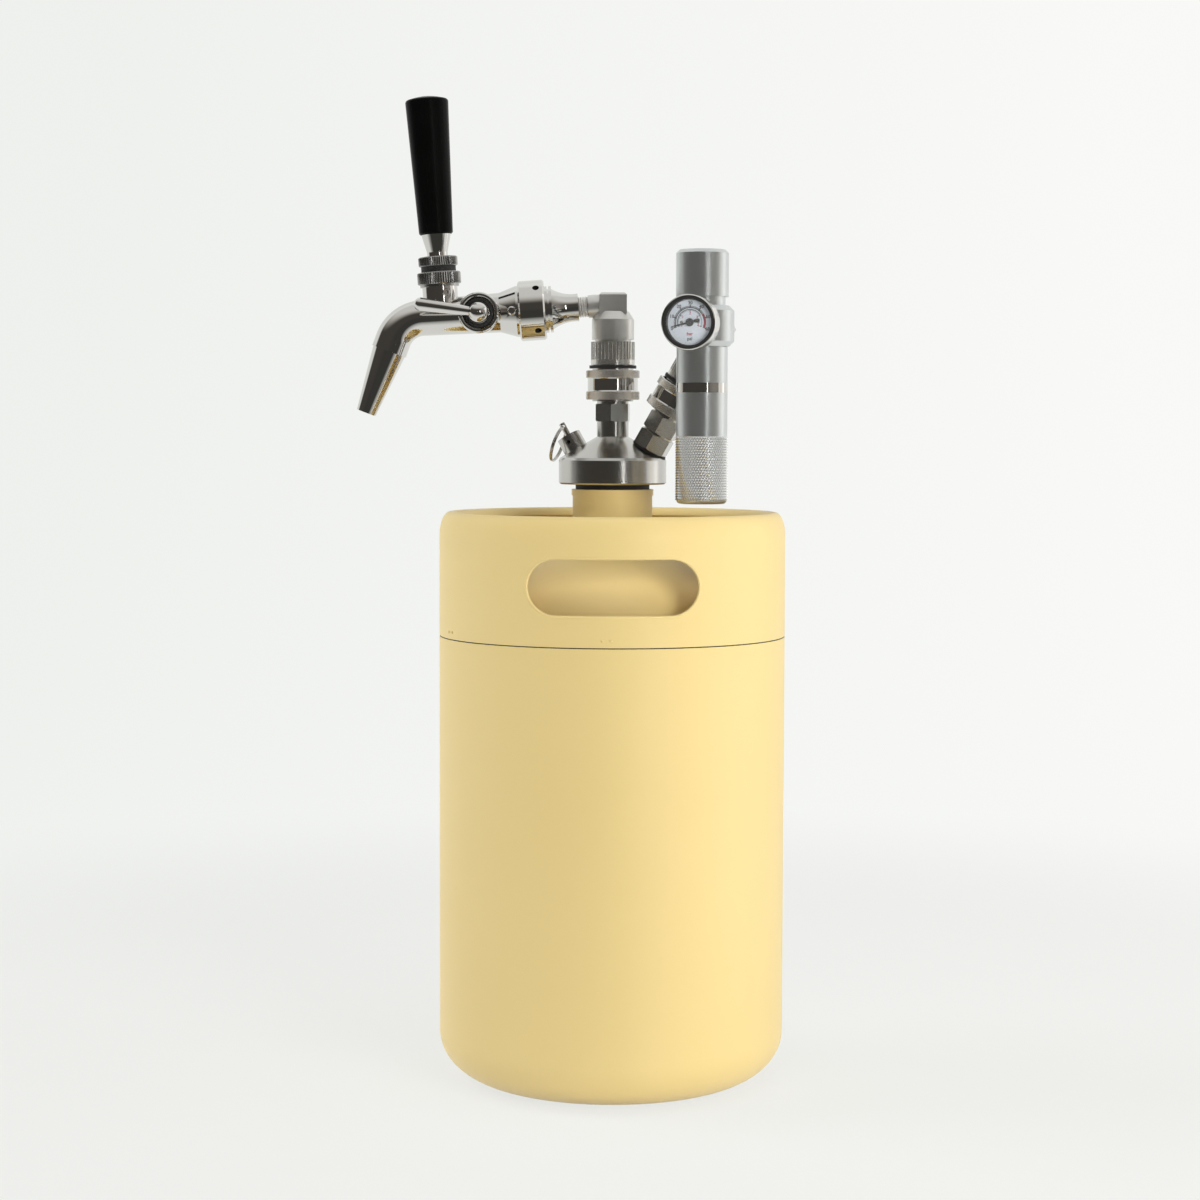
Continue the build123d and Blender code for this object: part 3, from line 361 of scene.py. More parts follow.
# %% Aluminium and the grained metals
SATIN = (0.9, 45.0, (0.65, 0.675, 0.675), (0.58, 0.60, 0.60), (0.25, 0.08), 0.03)
finishes["satin_aluminium"] = turned_metal("satin_aluminium", regulator_place, *SATIN)
FINE_GRAIN = (900, 2)
SCRATCH = (0.02, 0.02)
for name, noise, light, dark, roughness, bump, metallic in (
    ("knurled_steel", FINE_GRAIN, (0.74, 0.72, 0.68), (0.60, 0.58, 0.55), (0.18, 0.1), SCRATCH, 0.88),
    ("ribbed_steel", FINE_GRAIN, (0.46, 0.455, 0.445), (0.36, 0.355, 0.345), (0.2, 0.1), SCRATCH, 1),
    ("liner_steel", (300, 3), (0.55, 0.55, 0.54), (0.47, 0.47, 0.46), (0.28, 0.14), (0.1, 0.05), 1),
    ("cartridge_steel", (400, 3), (0.50, 0.51, 0.52), (0.42, 0.43, 0.44), (0.2, 0.15), (0.08, 0.04), 1),
    ("polished_steel", (35, 4), (0.70, 0.685, 0.66), (0.64, 0.625, 0.60), (0.035, 0.05), (0.015, 0.2), 1),
    ("knurled_aluminium", FINE_GRAIN, (0.86, 0.875, 0.87), (0.76, 0.775, 0.77), (0.1, 0.08), SCRATCH, 0.78),
):
    grained(name, noise, light, dark, roughness, bump, Metallic=metallic)
print("aluminium and grained metals made")

# %% [markdown]
# ## Rubber, handle, dial and lens
#
# Rubber is matt and slightly mottled. The handle is deep black plastic with very little reflection.
# The dial is a printed plate, nearly white with a cold tint. The lens is clear: a mostly transparent
# surface that still takes a highlight keeps the dial readable.

# %% Rubber, plastics and the lens
def gauge_glass():
    finish = Finish("gauge_glass", Specular_IOR_Level=0.3, Alpha=0.05)
    smear = finish.noise(120.0, 3.0)
    finish.set(Base_Color=(0.95, 0.97, 0.98, 1), Roughness=0.02 + 0.05 * smear)
    return finish.material


finishes["gauge_glass"] = gauge_glass()
grained("black_rubber", (700, 3), (0.012, 0.012, 0.012), (0.03, 0.03, 0.029), (0.55, 0.2), (0.1, 0.05))
grained(
    "black_handle", (90, 3), (0.002,) * 3, (0.004,) * 3, (0.2, 0.1), (0.05, 0.1), Specular_IOR_Level=0.04
)
grained("dial_white", FINE_GRAIN, (0.72, 0.78, 0.86), (0.68, 0.745, 0.83), (0.45, 0.1))
grained("dial_red", FINE_GRAIN, (0.42, 0.01, 0.05), (0.36, 0.01, 0.04), (0.45, 0.1))
grained("needle_black", (800, 2), (0.010, 0.010, 0.012), (0.02, 0.02, 0.022), (0.4, 0.1))
print("finishes:", sorted(finishes))

# %% [markdown]
# ## Dress the CAD nodes
#
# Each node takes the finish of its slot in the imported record. The gas side's turned pieces lean with
# their port, so their lathe rings run round the leaning axis.

# %% Finishes on the nodes
gas_side = {"gas_post", "gas_adapter", "gas_coupler", "gas_lock_balls"}
for node, solid in nodes.items():
    solid.data.materials.clear()
    solid.data.materials.append(gas_steel if node in gas_side else finishes[slot_of[node]])
print("dressed", len(nodes), "nodes")

# %% [markdown]
# ## Turned pieces with knurls
#
# A knurl is a pattern of small pyramids or ribs that a hard roller presses into a turned surface.
# It could be a bump texture, but it shows at the edge of the piece, so it is real geometry here.
# Each row of a turned piece has points round a circle. On a knurled row every second point is sunk by
# the bite. Rows whose sunk points alternate make diamonds; rows that agree make straight ribs.
# Faces that meet at a small angle are shaded smooth, which hides the facets and keeps edges sharp.

# %% A turned mesh with knurled rows
TURNED_SHARP = math.radians(20)
AXIS = 0.01
CHAMFER = 0.3


def mesh_piece(name, vertices, faces, sharp=None, slots=None):
    """An object from points and faces, smooth up to an angle, with a material index for each face."""
    mesh = bpy.data.meshes.new(name)
    mesh.from_pydata([tuple(vertex) for vertex in vertices], [], faces)
    if slots:
        mesh.polygons.foreach_set("material_index", slots)
    mesh.validate()
    if sharp:
        mesh.polygons.foreach_set("use_smooth", [True] * len(mesh.polygons))
        mesh.set_sharp_from_angle(angle=sharp)
    piece = bpy.data.objects.new(name, mesh)
    bpy.context.scene.collection.objects.link(piece)
    return piece


def turned_piece(name, place, rows, segments, closed, split=False):
    """Revolve rows of (radius, height, bite, shift) in millimetres about a frame's Z axis.

    With split, the knurled faces take the second material of the piece.
    """
    vertices, faces, bitten = [], [], []
    for radius, height, bite, shift in rows:
        for column in range(segments):
            angle = 2 * math.pi * column / segments
            reach = radius - (bite if (column + shift) % 2 else 0)
            local = Vector((reach * math.cos(angle), reach * math.sin(angle), height)) * MM
            vertices.append(place @ local)
    pairs = list(zip(range(len(rows) - 1), range(1, len(rows))))
    if closed:
        pairs.append((len(rows) - 1, 0))
    for lower, upper in pairs:
        for column in range(segments):
            after = (column + 1) % segments
            corners = [lower * segments + column, lower * segments + after]
            corners += [upper * segments + after, upper * segments + column]
            if rows[lower][2] == 0 and rows[upper][2] == 0:
                faces.append(corners)
                bitten.append(0)
                continue
            bitten += [1, 1]
            if (column + rows[lower][3]) % 2:
                faces.append([corners[0], corners[1], corners[2]])
                faces.append([corners[0], corners[2], corners[3]])
            else:
                faces.append([corners[0], corners[1], corners[3]])
                faces.append([corners[1], corners[2], corners[3]])
    return mesh_piece(name, vertices, faces, TURNED_SHARP, bitten if split else None)


def plain(radius, height):
    return (radius, height, 0, 0)


def diamond_band(radius, low, high, bite, step):
    """Rows of a diamond knurl between two heights."""
    count = max(2, round((high - low) / step))
    return [(radius, low + (high - low) * row / count, bite, row % 2) for row in range(count + 1)]


def ribbed_band(radius, low, high, bite):
    """Rows of a straight knurl between two heights."""
    return [(radius, low, bite, 0), (radius, high, bite, 0)]


def fit_out(piece, body, slot):
    """An added piece takes a finish and rides a body."""
    piece.data.materials.append(finishes[slot])
    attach(piece, body)
    return piece


def stand_for(piece, node, body, slot):
    """A rebuilt piece is fitted out like an added one and also takes a node's place."""
    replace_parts(fit_out(piece, body, slot), node)
    return piece


print("knurl helpers ready")

# %% [markdown]
# ## Lock collars of the two disconnects
#
# The user lifts this spring collar to free the disconnect. It has a diamond-knurled ring at each end
# and a smooth waist between them. Its outside is rebuilt row by row at the node's own sizes.

# %% Lock collars
KNURL_BITE = 0.5
COLLAR_EDGE = 0.35
LOWER_RING = 4.2
UPPER_RING = 3.9
COLLAR_COLUMNS = 112
COLLAR_STEP = 0.7
COLLAR_BORE = 10.35
COLLAR_MOUTH = 11.8
COLLAR_LEDGE = 9.6
WAIST_INSET = 0.9


def lock_collar(side, place):
    node = side + "_lock_collar"
    bottom, top, radius = span(node, place)
    waist = radius - WAIST_INSET
    lower_end, upper_start = bottom + LOWER_RING, top - UPPER_RING
    rows = [plain(radius - KNURL_BITE - COLLAR_EDGE, bottom)]
    rows += diamond_band(radius, bottom + COLLAR_EDGE, lower_end - COLLAR_EDGE, KNURL_BITE, COLLAR_STEP)
    rows += [plain(waist + COLLAR_EDGE / 2, lower_end), plain(waist, lower_end + COLLAR_EDGE)]
    rows += [plain(waist, upper_start - COLLAR_EDGE), plain(waist + COLLAR_EDGE / 2, upper_start)]
    rows += diamond_band(radius, upper_start + COLLAR_EDGE, top - COLLAR_EDGE, KNURL_BITE, COLLAR_STEP)
    rows += [plain(radius - KNURL_BITE - COLLAR_EDGE, top), plain(COLLAR_MOUTH, top)]
    rows += [plain(COLLAR_MOUTH, bottom + COLLAR_LEDGE), plain(COLLAR_BORE, bottom + COLLAR_LEDGE)]
    rows += [plain(COLLAR_BORE, bottom)]
    piece = turned_piece(side + "_collar_knurled", place, rows, COLLAR_COLUMNS, True, split=True)
    piece.data.materials.append(finishes["polished_steel"])
    return stand_for(piece, node, side + "_collar", "knurled_steel")


for side, place in (("liquid", liquid_place), ("gas", gas_place)):
    collar = lock_collar(side, place)
    print(collar.name, "faces:", len(collar.data.polygons))

# %% [markdown]
# ## Bonnet rings under the handle
#
# Two rings with straight ribs clamp the lever's seal. The upper one has a conical mouth, so that the
# handle can tilt. Both are rebuilt with ribs at the sizes of their nodes.

# %% Bonnet rings
RIB_BITE = 0.32
RIB_EDGE = 0.5
RIB_COLUMNS = 108
BONNET_STEP = 1.2
BONNET_STEP_RADIUS = 9.5
BONNET_BORE = 7.0
CAP_MOUTH = 7.9
CAP_THROAT = 6.7


def bonnet_ring():
    bottom, top, radius = span("bonnet", bonnet_place)
    ribs_start = bottom + BONNET_STEP
    rows = [plain(BONNET_STEP_RADIUS, bottom), plain(BONNET_STEP_RADIUS, ribs_start)]
    rows += [plain(radius - RIB_EDGE, ribs_start)]
    rows += ribbed_band(radius, ribs_start + RIB_EDGE, top - RIB_EDGE, RIB_BITE)
    rows += [plain(radius - RIB_EDGE, top), plain(BONNET_BORE, top), plain(BONNET_BORE, bottom)]
    return turned_piece("bonnet_ribbed", bonnet_place, rows, RIB_COLUMNS, True)


def bonnet_cap_ring():
    bottom, top, radius = span("bonnet_cap", bonnet_place)
    rows = [plain(radius - RIB_EDGE, bottom)]
    rows += ribbed_band(radius, bottom + RIB_EDGE, top - RIB_EDGE, RIB_BITE)
    rows += [plain(radius - RIB_EDGE, top), plain(CAP_MOUTH, top), plain(CAP_THROAT, bottom)]
    return turned_piece("bonnet_cap_ribbed", bonnet_place, rows, RIB_COLUMNS, True)


for ring, node in ((bonnet_ring(), "bonnet"), (bonnet_cap_ring(), "bonnet_cap")):
    stand_for(ring, node, "tap", "knurled_steel").data.materials[0] = finishes["ribbed_steel"]
print("bonnet rings made")

# %% [markdown]
# ## Cartridge holder
#
# The lower tube holds the gas cartridge and is screwed up by hand, so its end has a coarse diamond
# knurl. The tube above is plain satin metal with a groove for the polished ring.

# %% Cartridge holder
HOLDER_BITE = 0.5
HOLDER_COLUMNS = 116
HOLDER_STEP = 1.22
HOLDER_KNURL = 31.6
HOLDER_CORNER = 2.0
HOLDER_CORNER_STEPS = 5
HOLDER_PLAIN_INSET = 0.35
HOLDER_GROOVE = 0.6
HOLDER_RING_FROM_TOP = 17.0
HOLDER_RING_HEIGHT = 4.6
HOLDER_BORE = 9.7
HOLDER_SOCKET = 10.65
HOLDER_SOCKET_DEPTH = 15.6
HOLDER_FLOOR = 3.0


def cartridge_holder():
    bottom, top, radius = span("cartridge_holder", regulator_place)
    knurl_top = bottom + HOLDER_KNURL
    tube = radius - HOLDER_PLAIN_INSET
    ring_top = top - HOLDER_RING_FROM_TOP
    ring_bottom = ring_top - HOLDER_RING_HEIGHT
    rows = [plain(AXIS, bottom)]
    for step in range(HOLDER_CORNER_STEPS):
        angle = math.pi / 2 * step / HOLDER_CORNER_STEPS
        corner_radius = radius - HOLDER_BITE - HOLDER_CORNER + HOLDER_CORNER * math.sin(angle)
        rows.append(plain(corner_radius, bottom + HOLDER_CORNER * (1 - math.cos(angle))))
    rows += diamond_band(radius, bottom + HOLDER_CORNER, knurl_top, HOLDER_BITE, HOLDER_STEP)
    rows += [plain(tube, knurl_top + HOLDER_PLAIN_INSET), plain(tube, ring_bottom)]
    rows += [plain(tube - HOLDER_GROOVE, ring_bottom), plain(tube - HOLDER_GROOVE, ring_top)]
    rows += [plain(tube, ring_top), plain(tube, top), plain(HOLDER_SOCKET, top)]
    rows += [plain(HOLDER_SOCKET, top - HOLDER_SOCKET_DEPTH), plain(HOLDER_BORE, top - HOLDER_SOCKET_DEPTH)]
    rows += [plain(HOLDER_BORE, bottom + HOLDER_FLOOR), plain(AXIS, bottom + HOLDER_FLOOR)]
    return turned_piece("holder_knurled", regulator_place, rows, HOLDER_COLUMNS, True, split=True)


holder = stand_for(cartridge_holder(), "cartridge_holder", "holder", "satin_aluminium")
holder.data.materials.append(finishes["knurled_aluminium"])
print("holder faces:", len(holder.data.polygons))

# %% [markdown]
# ## Gauge dial print
#
# The dial has an outer scale with its numbers, an inner scale, a red zone and the names of the two
# units. Printed lines are thin, so flat strips that stand a hair above the plate are enough, and
# they stay sharp from any distance. All black print is one piece and all red print another.

# %% Dial print
PRINT_LIFT = 0.04
PRINT_THICKNESS = 0.05
LETTER_WEIGHT = 0.04
SCALE_START = 198.5
SCALE_SWEEP = 219.0
_, dial_top, _ = span("gauge_dial", gauge_place)
print_height = dial_top + PRINT_LIFT


class Print:
    """Collects flat strips and letters on the dial, in millimetres from its centre."""

    def __init__(self):
        self.vertices = []
        self.faces = []

    def slab(self, outline, low=print_height, high=print_height + PRINT_THICKNESS):
        """A thin closed slab from a convex outline of (x, y) points."""
        start = len(self.vertices)
        count = len(outline)
        for height in (low, high):
            self.vertices += [gauge_place @ (Vector((x, y, height)) * MM) for x, y in outline]
        self.faces.append([start + index for index in reversed(range(count))])
        self.faces.append([start + count + index for index in range(count)])
        for index in range(count):
            after = (index + 1) % count
            self.faces.append([start + index, start + after, start + count + after, start + count + index])

    def ray(self, degrees, inner, outer, width):
        """A straight mark that points at the dial's centre."""
        angle = math.radians(degrees)
        along = Vector((math.cos(angle), math.sin(angle)))
        across = Vector((-along.y, along.x)) * (width / 2)
        foot, head = along * inner, along * outer
        self.slab([tuple(corner) for corner in (foot - across, head - across, head + across, foot + across)])

    def arc(self, start, end, inner, outer, steps):
        """A curved band between two angles."""
        for step in range(steps):
            first = math.radians(start + (end - start) * step / steps)
            last = math.radians(start + (end - start) * (step + 1) / steps)
            corners = [(outer, first), (inner, first), (inner, last), (outer, last)]
            self.slab([(radius * math.cos(angle), radius * math.sin(angle)) for radius, angle in corners])

    def letters(self, text, x, y, height):
        """Upright letters centred on a point."""
        curve = bpy.data.curves.new("letters", "FONT")
        curve.body = text
        curve.align_x = "CENTER"
        curve.align_y = "CENTER"
        curve.size = height
        curve.extrude = PRINT_THICKNESS / 2
        curve.offset = LETTER_WEIGHT
        curve.resolution_u = 3
        text_object = bpy.data.objects.new("letters", curve)
        mesh = bpy.data.meshes.new_from_object(text_object)
        start = len(self.vertices)
        lift = print_height + PRINT_THICKNESS / 2
        for vertex in mesh.vertices:
            local = Vector((vertex.co.x + x, vertex.co.y + y, vertex.co.z + lift))
            self.vertices.append(gauge_place @ (local * MM))
        self.faces += [[start + index for index in polygon.vertices] for polygon in mesh.polygons]
        bpy.data.objects.remove(text_object)
        bpy.data.curves.remove(curve)
        bpy.data.meshes.remove(mesh)

    def piece(self, name):
        return mesh_piece(name, self.vertices, self.faces)


def scale_angle(share):
    """The dial angle at a share of the scale, which runs clockwise from lower left."""
    return SCALE_START - SCALE_SWEEP * share


def on_circle(radius, share):
    angle = math.radians(scale_angle(share))
    return radius * math.cos(angle), radius * math.sin(angle)


# Counts of marks, shares of the scale, and radii, widths and letter heights in millimetres.
OUTER_MARKS, OUTER_FOOT, OUTER_SHORT, OUTER_LONG = 60, 6.7, 7.7, 8.3
INNER_MARKS, INNER_TOP, INNER_SHORT, INNER_LONG = 40, 6.0, 5.3, 4.9
OUTER_LINE, INNER_LINE = (6.6, 6.85), (5.9, 6.15)
LONG_WIDTH, SHORT_WIDTH, INNER_LONG_WIDTH, INNER_SHORT_WIDTH = 0.45, 0.26, 0.34, 0.2
UPPER_UNIT, LOWER_UNIT = -5.3, -7.6
RED_FROM, RED_TO = 0.76, 0.98
MARKS_PER_NUMBER = 10
OUTER_NUMBERS, INNER_NUMBERS, OUTER_LETTER, INNER_LETTER = 9.0, 4.2, 2.2, 1.7
black_print, red_print = Print(), Print()
for mark in range(OUTER_MARKS + 1):
    share = mark / OUTER_MARKS
    if mark % MARKS_PER_NUMBER == 0:
        black_print.ray(scale_angle(share), OUTER_FOOT, OUTER_LONG, LONG_WIDTH)
    else:
        target = red_print if share > RED_FROM else black_print
        target.ray(scale_angle(share), OUTER_FOOT, OUTER_SHORT, SHORT_WIDTH)
red_print.arc(scale_angle(RED_FROM), scale_angle(RED_TO), OUTER_FOOT, OUTER_SHORT, 14)
black_print.arc(scale_angle(0), scale_angle(1), *OUTER_LINE, 60)
black_print.arc(scale_angle(0), scale_angle(RED_FROM), *INNER_LINE, 48)
for mark in range(INNER_MARKS + 1):
    long_mark = mark % MARKS_PER_NUMBER == 0
    foot, width = (INNER_LONG, INNER_LONG_WIDTH) if long_mark else (INNER_SHORT, INNER_SHORT_WIDTH)
    black_print.ray(scale_angle(mark / INNER_MARKS), foot, INNER_TOP, width)
for number in range(0, OUTER_MARKS + 1, MARKS_PER_NUMBER):
    black_print.letters(str(number), *on_circle(OUTER_NUMBERS, number / OUTER_MARKS), OUTER_LETTER)
inner_top = INNER_MARKS // MARKS_PER_NUMBER
for number in range(inner_top + 1):
    red_print.letters(str(number), *on_circle(INNER_NUMBERS, number / inner_top), INNER_LETTER)
red_print.letters("bar", 0, UPPER_UNIT, OUTER_LETTER)
black_print.letters("psi", 0, LOWER_UNIT, OUTER_LETTER)
for ink, name, finish_name in (
    (black_print, "dial_print_black", "needle_black"),
    (red_print, "dial_print_red", "dial_red"),
):
    piece = ink.piece(name)
    piece.data.materials.append(finishes[finish_name])
    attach(piece, "regulator")
    print(name, "faces:", len(piece.data.polygons))

# %% [markdown]
# ## Small parts of the gauge
#
# The bezel is a thin bright rim round a black sloping ring, so it is rebuilt as those two. A second
# black ring closes the gap behind the lens, and two tiny screws hold the plate. The needle is a long
# taper with a broad tail that balances it. They are small, but they make the gauge an instrument.

# %% Gauge bezel
bezel_back, bezel_front, _ = span("gauge_bezel", gauge_place)
BEZEL_SEAT = 12.0
RIM_OUTER = 13.0
RIM_INNER = 12.3
FACE_INNER = 10.75
LENS_BELOW_FRONT = 0.78
rim_section = [(BEZEL_SEAT, -LENS_BELOW_FRONT), (RIM_INNER, -0.45), (RIM_INNER + 0.12, -0.12)]
rim_section += [(RIM_INNER + 0.32, 0), (RIM_OUTER - 0.15, -0.15), (RIM_OUTER, -0.5)]
rim_rows = [plain(radius, bezel_front + drop) for radius, drop in rim_section]
rim_rows += [plain(RIM_OUTER, bezel_back), plain(BEZEL_SEAT, bezel_back)]
gauge_rim = turned_piece("gauge_rim", gauge_place, rim_rows, 120, True)
stand_for(gauge_rim, "gauge_bezel", "regulator", slot_of["gauge_bezel"])
face_section = [(FACE_INNER, -LENS_BELOW_FRONT), (RIM_INNER, -LENS_BELOW_FRONT), (RIM_INNER, -0.38)]
face_section += [(RIM_INNER - 0.5, -0.3), (FACE_INNER + 0.15, -0.55)]
face_rows = [plain(radius, bezel_front + drop) for radius, drop in face_section]
gauge_face = turned_piece("gauge_face", gauge_place, face_rows, 120, True)
fit_out(gauge_face, "regulator", "black_rubber")
print("bezel from", round(bezel_back, 2), "to", round(bezel_front, 2))

# %% Gauge needle
NEEDLE_TIP = 9.2
NEEDLE_TIP_WIDTH = 0.3
NEEDLE_ROOT_WIDTH = 1.1
NEEDLE_TAIL = 4.9
NEEDLE_TAIL_START = 1.9
NEEDLE_TAIL_WIDTH = 1.6
NEEDLE_HUB = 1.9
NEEDLE_CAP = 1.3
BLADE_DROP = 0.8
BLADE_THICKNESS = 0.3
NEEDLE_SHAFT = 0.7
BLADE_ENDS = 8.0
needle_foot, needle_top, _ = span("gauge_needle", gauge_place)
needle_points = [gauge_place.inverted() @ vertex.co for vertex in nodes["gauge_needle"].data.vertices]
blade_end = [point for point in needle_points if point.xy.length > BLADE_ENDS * MM]
pointing = sum((point.xy for point in blade_end), Vector((0, 0)))
needle_angle = math.atan2(pointing.y, pointing.x)
needle_turn = Matrix.Rotation(needle_angle, 2)


def round_outline(radius, count=32):
    angles = [2 * math.pi * step / count for step in range(count)]
    return [(radius * math.cos(angle), radius * math.sin(angle)) for angle in angles]


def turned_outline(points):
    return [tuple(needle_turn @ Vector(point)) for point in points]


needle_print = Print()
blade_low = needle_top - BLADE_DROP
blade_high = blade_low + BLADE_THICKNESS
tip, root, tail = NEEDLE_TIP_WIDTH / 2, NEEDLE_ROOT_WIDTH / 2, NEEDLE_TAIL_WIDTH / 2
blade = [(0, -root), (NEEDLE_TIP - 0.4, -tip), (NEEDLE_TIP, 0), (NEEDLE_TIP - 0.4, tip), (0, root)]
paddle = [(-NEEDLE_TAIL_START, -tail * 0.6), (-NEEDLE_TAIL_START, tail * 0.6)]
paddle += [(-NEEDLE_TAIL_START - 0.7, tail), (-NEEDLE_TAIL + 0.5, tail)]
paddle += [(-NEEDLE_TAIL, tail * 0.5), (-NEEDLE_TAIL, -tail * 0.5)]
paddle += [(-NEEDLE_TAIL + 0.5, -tail), (-NEEDLE_TAIL_START - 0.7, -tail)]
stem = [(-NEEDLE_TAIL_START - 0.2, -0.4), (0, -0.4), (0, 0.4), (-NEEDLE_TAIL_START - 0.2, 0.4)]
needle_print.slab(turned_outline(blade), blade_low, blade_high)
needle_print.slab(turned_outline(reversed(paddle)), blade_low, blade_high)
needle_print.slab(turned_outline(stem), blade_low, blade_high - 0.05)
needle_print.slab(round_outline(NEEDLE_HUB), blade_low - 0.02, blade_high + 0.15)
needle_print.slab(round_outline(NEEDLE_CAP), blade_high + 0.15, needle_top)
needle_print.slab(round_outline(NEEDLE_SHAFT, 16), needle_foot, blade_low)
stand_for(needle_print.piece("needle_pointer"), "gauge_needle", "needle", "needle_black")
print("needle points at", round(math.degrees(needle_angle), 1), "degrees")

# %% Gauge ring and dial screws
GAUGE_RING_INNER = 10.5
GAUGE_RING_OUTER = 10.95
DIAL_SCREW_RADIUS = 0.8
DIAL_SCREW_HEIGHT = 0.2
DIAL_SCREW_SLOT = 0.22
DIAL_SCREW_AT = 3.9
DIAL_SCREW_UP = 0.1
lens_back, _, _ = span("gauge_lens", gauge_place)
ring_rows = [plain(GAUGE_RING_INNER, dial_top), plain(GAUGE_RING_OUTER, dial_top)]
ring_rows += [plain(GAUGE_RING_OUTER, lens_back), plain(GAUGE_RING_INNER + CHAMFER, lens_back)]
gauge_ring = turned_piece("gauge_ring", gauge_place, ring_rows, 96, True)
fit_out(gauge_ring, "regulator", "black_rubber")
for name, across in (("dial_screw_left", -DIAL_SCREW_AT), ("dial_screw_right", DIAL_SCREW_AT)):
    screw_place = gauge_place @ Matrix.Translation(Vector((across, DIAL_SCREW_UP, dial_top)) * MM)
    screw_rows = [plain(AXIS, 0), plain(DIAL_SCREW_RADIUS, 0)]
    screw_rows += [plain(DIAL_SCREW_RADIUS, DIAL_SCREW_HEIGHT / 2)]
    screw_rows += [plain(DIAL_SCREW_RADIUS * 0.7, DIAL_SCREW_HEIGHT)]
    screw_rows += [plain(DIAL_SCREW_SLOT, DIAL_SCREW_HEIGHT), plain(AXIS, DIAL_SCREW_HEIGHT / 2)]
    fit_out(turned_piece(name, screw_place, screw_rows, 24, False), "regulator", "knurled_steel")
print("gauge ring and screws made")

# %% [markdown]
# ## Small parts of the tap
#
# The flow control sits in a black washer inside a rounded rim. A grub screw in the boss locks the
# bonnet. The four spanner holes of the coupling nut are lined in black, because light doesn't come
# back out of a deep hole. Between the elbow and the trumpet-shaped shank a few turns of thread show.
# A thread is a ridge that climbs as it goes round: its height depends on both the angle and the
# distance, so one formula makes it.

# %% Flow washer and rim
tap_place = place_at(tap_origin, -tap_rear, (0, 0, 1))
flow_place = place_at(flow_at, (0, -1, 0))
flow_bottom, flow_top, _ = span("flow_collar", flow_place)
WASHER_INNER = 5.5
WASHER_OUTER = 7.35
WASHER_FLOOR = 2.0
WASHER_HEIGHT = 1.1
washer_bottom = flow_top - WASHER_FLOOR
washer_top = washer_bottom + WASHER_HEIGHT
washer_rows = [plain(WASHER_INNER, washer_bottom), plain(WASHER_OUTER, washer_bottom)]
washer_rows += [plain(WASHER_OUTER, washer_top - CHAMFER), plain(WASHER_OUTER - 0.4, washer_top)]
washer_rows += [plain(WASHER_INNER + CHAMFER, washer_top), plain(WASHER_INNER, washer_top - CHAMFER)]
fit_out(turned_piece("flow_washer", flow_place, washer_rows, 72, True), "tap", "black_rubber")

COLLAR_OUTER = 10.0
COLLAR_RECESS = 7.4
COLLAR_SHAFT = 2.45
RIM_STEPS = 8
rim_round = (COLLAR_OUTER - COLLAR_RECESS) / 2
rim_rows = [plain(COLLAR_SHAFT, flow_bottom), plain(COLLAR_OUTER - CHAMFER, flow_bottom)]
rim_rows += [plain(COLLAR_OUTER, flow_bottom + CHAMFER)]
for step in range(RIM_STEPS + 1):
    angle = math.pi * step / RIM_STEPS
    inset, drop = rim_round * (1 - math.cos(angle)), rim_round * (1 - math.sin(angle))
    rim_rows.append(plain(COLLAR_OUTER - inset, flow_top - drop))
rim_rows += [plain(COLLAR_RECESS, washer_bottom), plain(COLLAR_SHAFT, washer_bottom)]
stand_for(turned_piece("flow_rim", flow_place, rim_rows, 96, True), "flow_collar", "tap", "polished_steel")
print("flow washer and rim made")

# %% Grub screw
BOSS_RADIUS = 8.6
SCREW_TURN = math.radians(23)
SCREW_BELOW_BONNET = 3.2
SCREW_RADIUS = 1.9
SCREW_PROUD = 0.5
SCREW_SUNK = 1.0
SOCKET_RADIUS = 0.9
SOCKET_DEPTH = 1.2
screw_height = span("bonnet", bonnet_place)[0] - SCREW_BELOW_BONNET
screw_axis = bonnet_place.to_3x3() @ Vector((math.sin(SCREW_TURN), -math.cos(SCREW_TURN), 0))
screw_foot = bonnet_place @ (Vector((0, 0, screw_height)) * MM)
screw_foot += screw_axis * ((BOSS_RADIUS - SCREW_SUNK) * MM)
screw_top = SCREW_SUNK + SCREW_PROUD
grub_rows = [plain(AXIS, 0), plain(SCREW_RADIUS, 0), plain(SCREW_RADIUS, screw_top - CHAMFER)]
grub_rows += [plain(SCREW_RADIUS - CHAMFER, screw_top), plain(SOCKET_RADIUS, screw_top)]
grub_rows += [plain(SOCKET_RADIUS, screw_top - SOCKET_DEPTH), plain(AXIS, screw_top - SOCKET_DEPTH)]
grub_screw = turned_piece("grub_screw", place_at(screw_foot, screw_axis), grub_rows, 30, False)
fit_out(grub_screw, "tap", "polished_steel")
print("grub screw made")

# %% Spanner holes
HOLE_COUNT = 4
HOLE_LINING = 1.6
HOLE_WALL = 0.15
HOLE_FLOOR = 12.75
HOLE_TOP = 14.3
HOLE_FROM_NUT_BACK = 3.9
hole_centre = tap_place @ Vector((0, 0, extent("coupling_nut", tap_place)[0].z + HOLE_FROM_NUT_BACK * MM))
hole_inner = HOLE_LINING - HOLE_WALL
hole_rows = [plain(AXIS, HOLE_FLOOR), plain(HOLE_LINING, HOLE_FLOOR), plain(HOLE_LINING, HOLE_TOP)]
hole_rows += [plain(hole_inner, HOLE_TOP), plain(hole_inner, HOLE_FLOOR + HOLE_WALL)]
hole_rows += [plain(AXIS, HOLE_FLOOR + HOLE_WALL)]
for index in range(HOLE_COUNT):
    turn = 2 * math.pi * (index + 0.5) / HOLE_COUNT
    outward = tap_place.to_3x3() @ Vector((math.cos(turn), math.sin(turn), 0))
    hole_place = place_at(hole_centre, outward, tap_rear)
    fit_out(turned_piece(f"nut_hole_{index}", hole_place, hole_rows, 24, False), "tap", "needle_black")
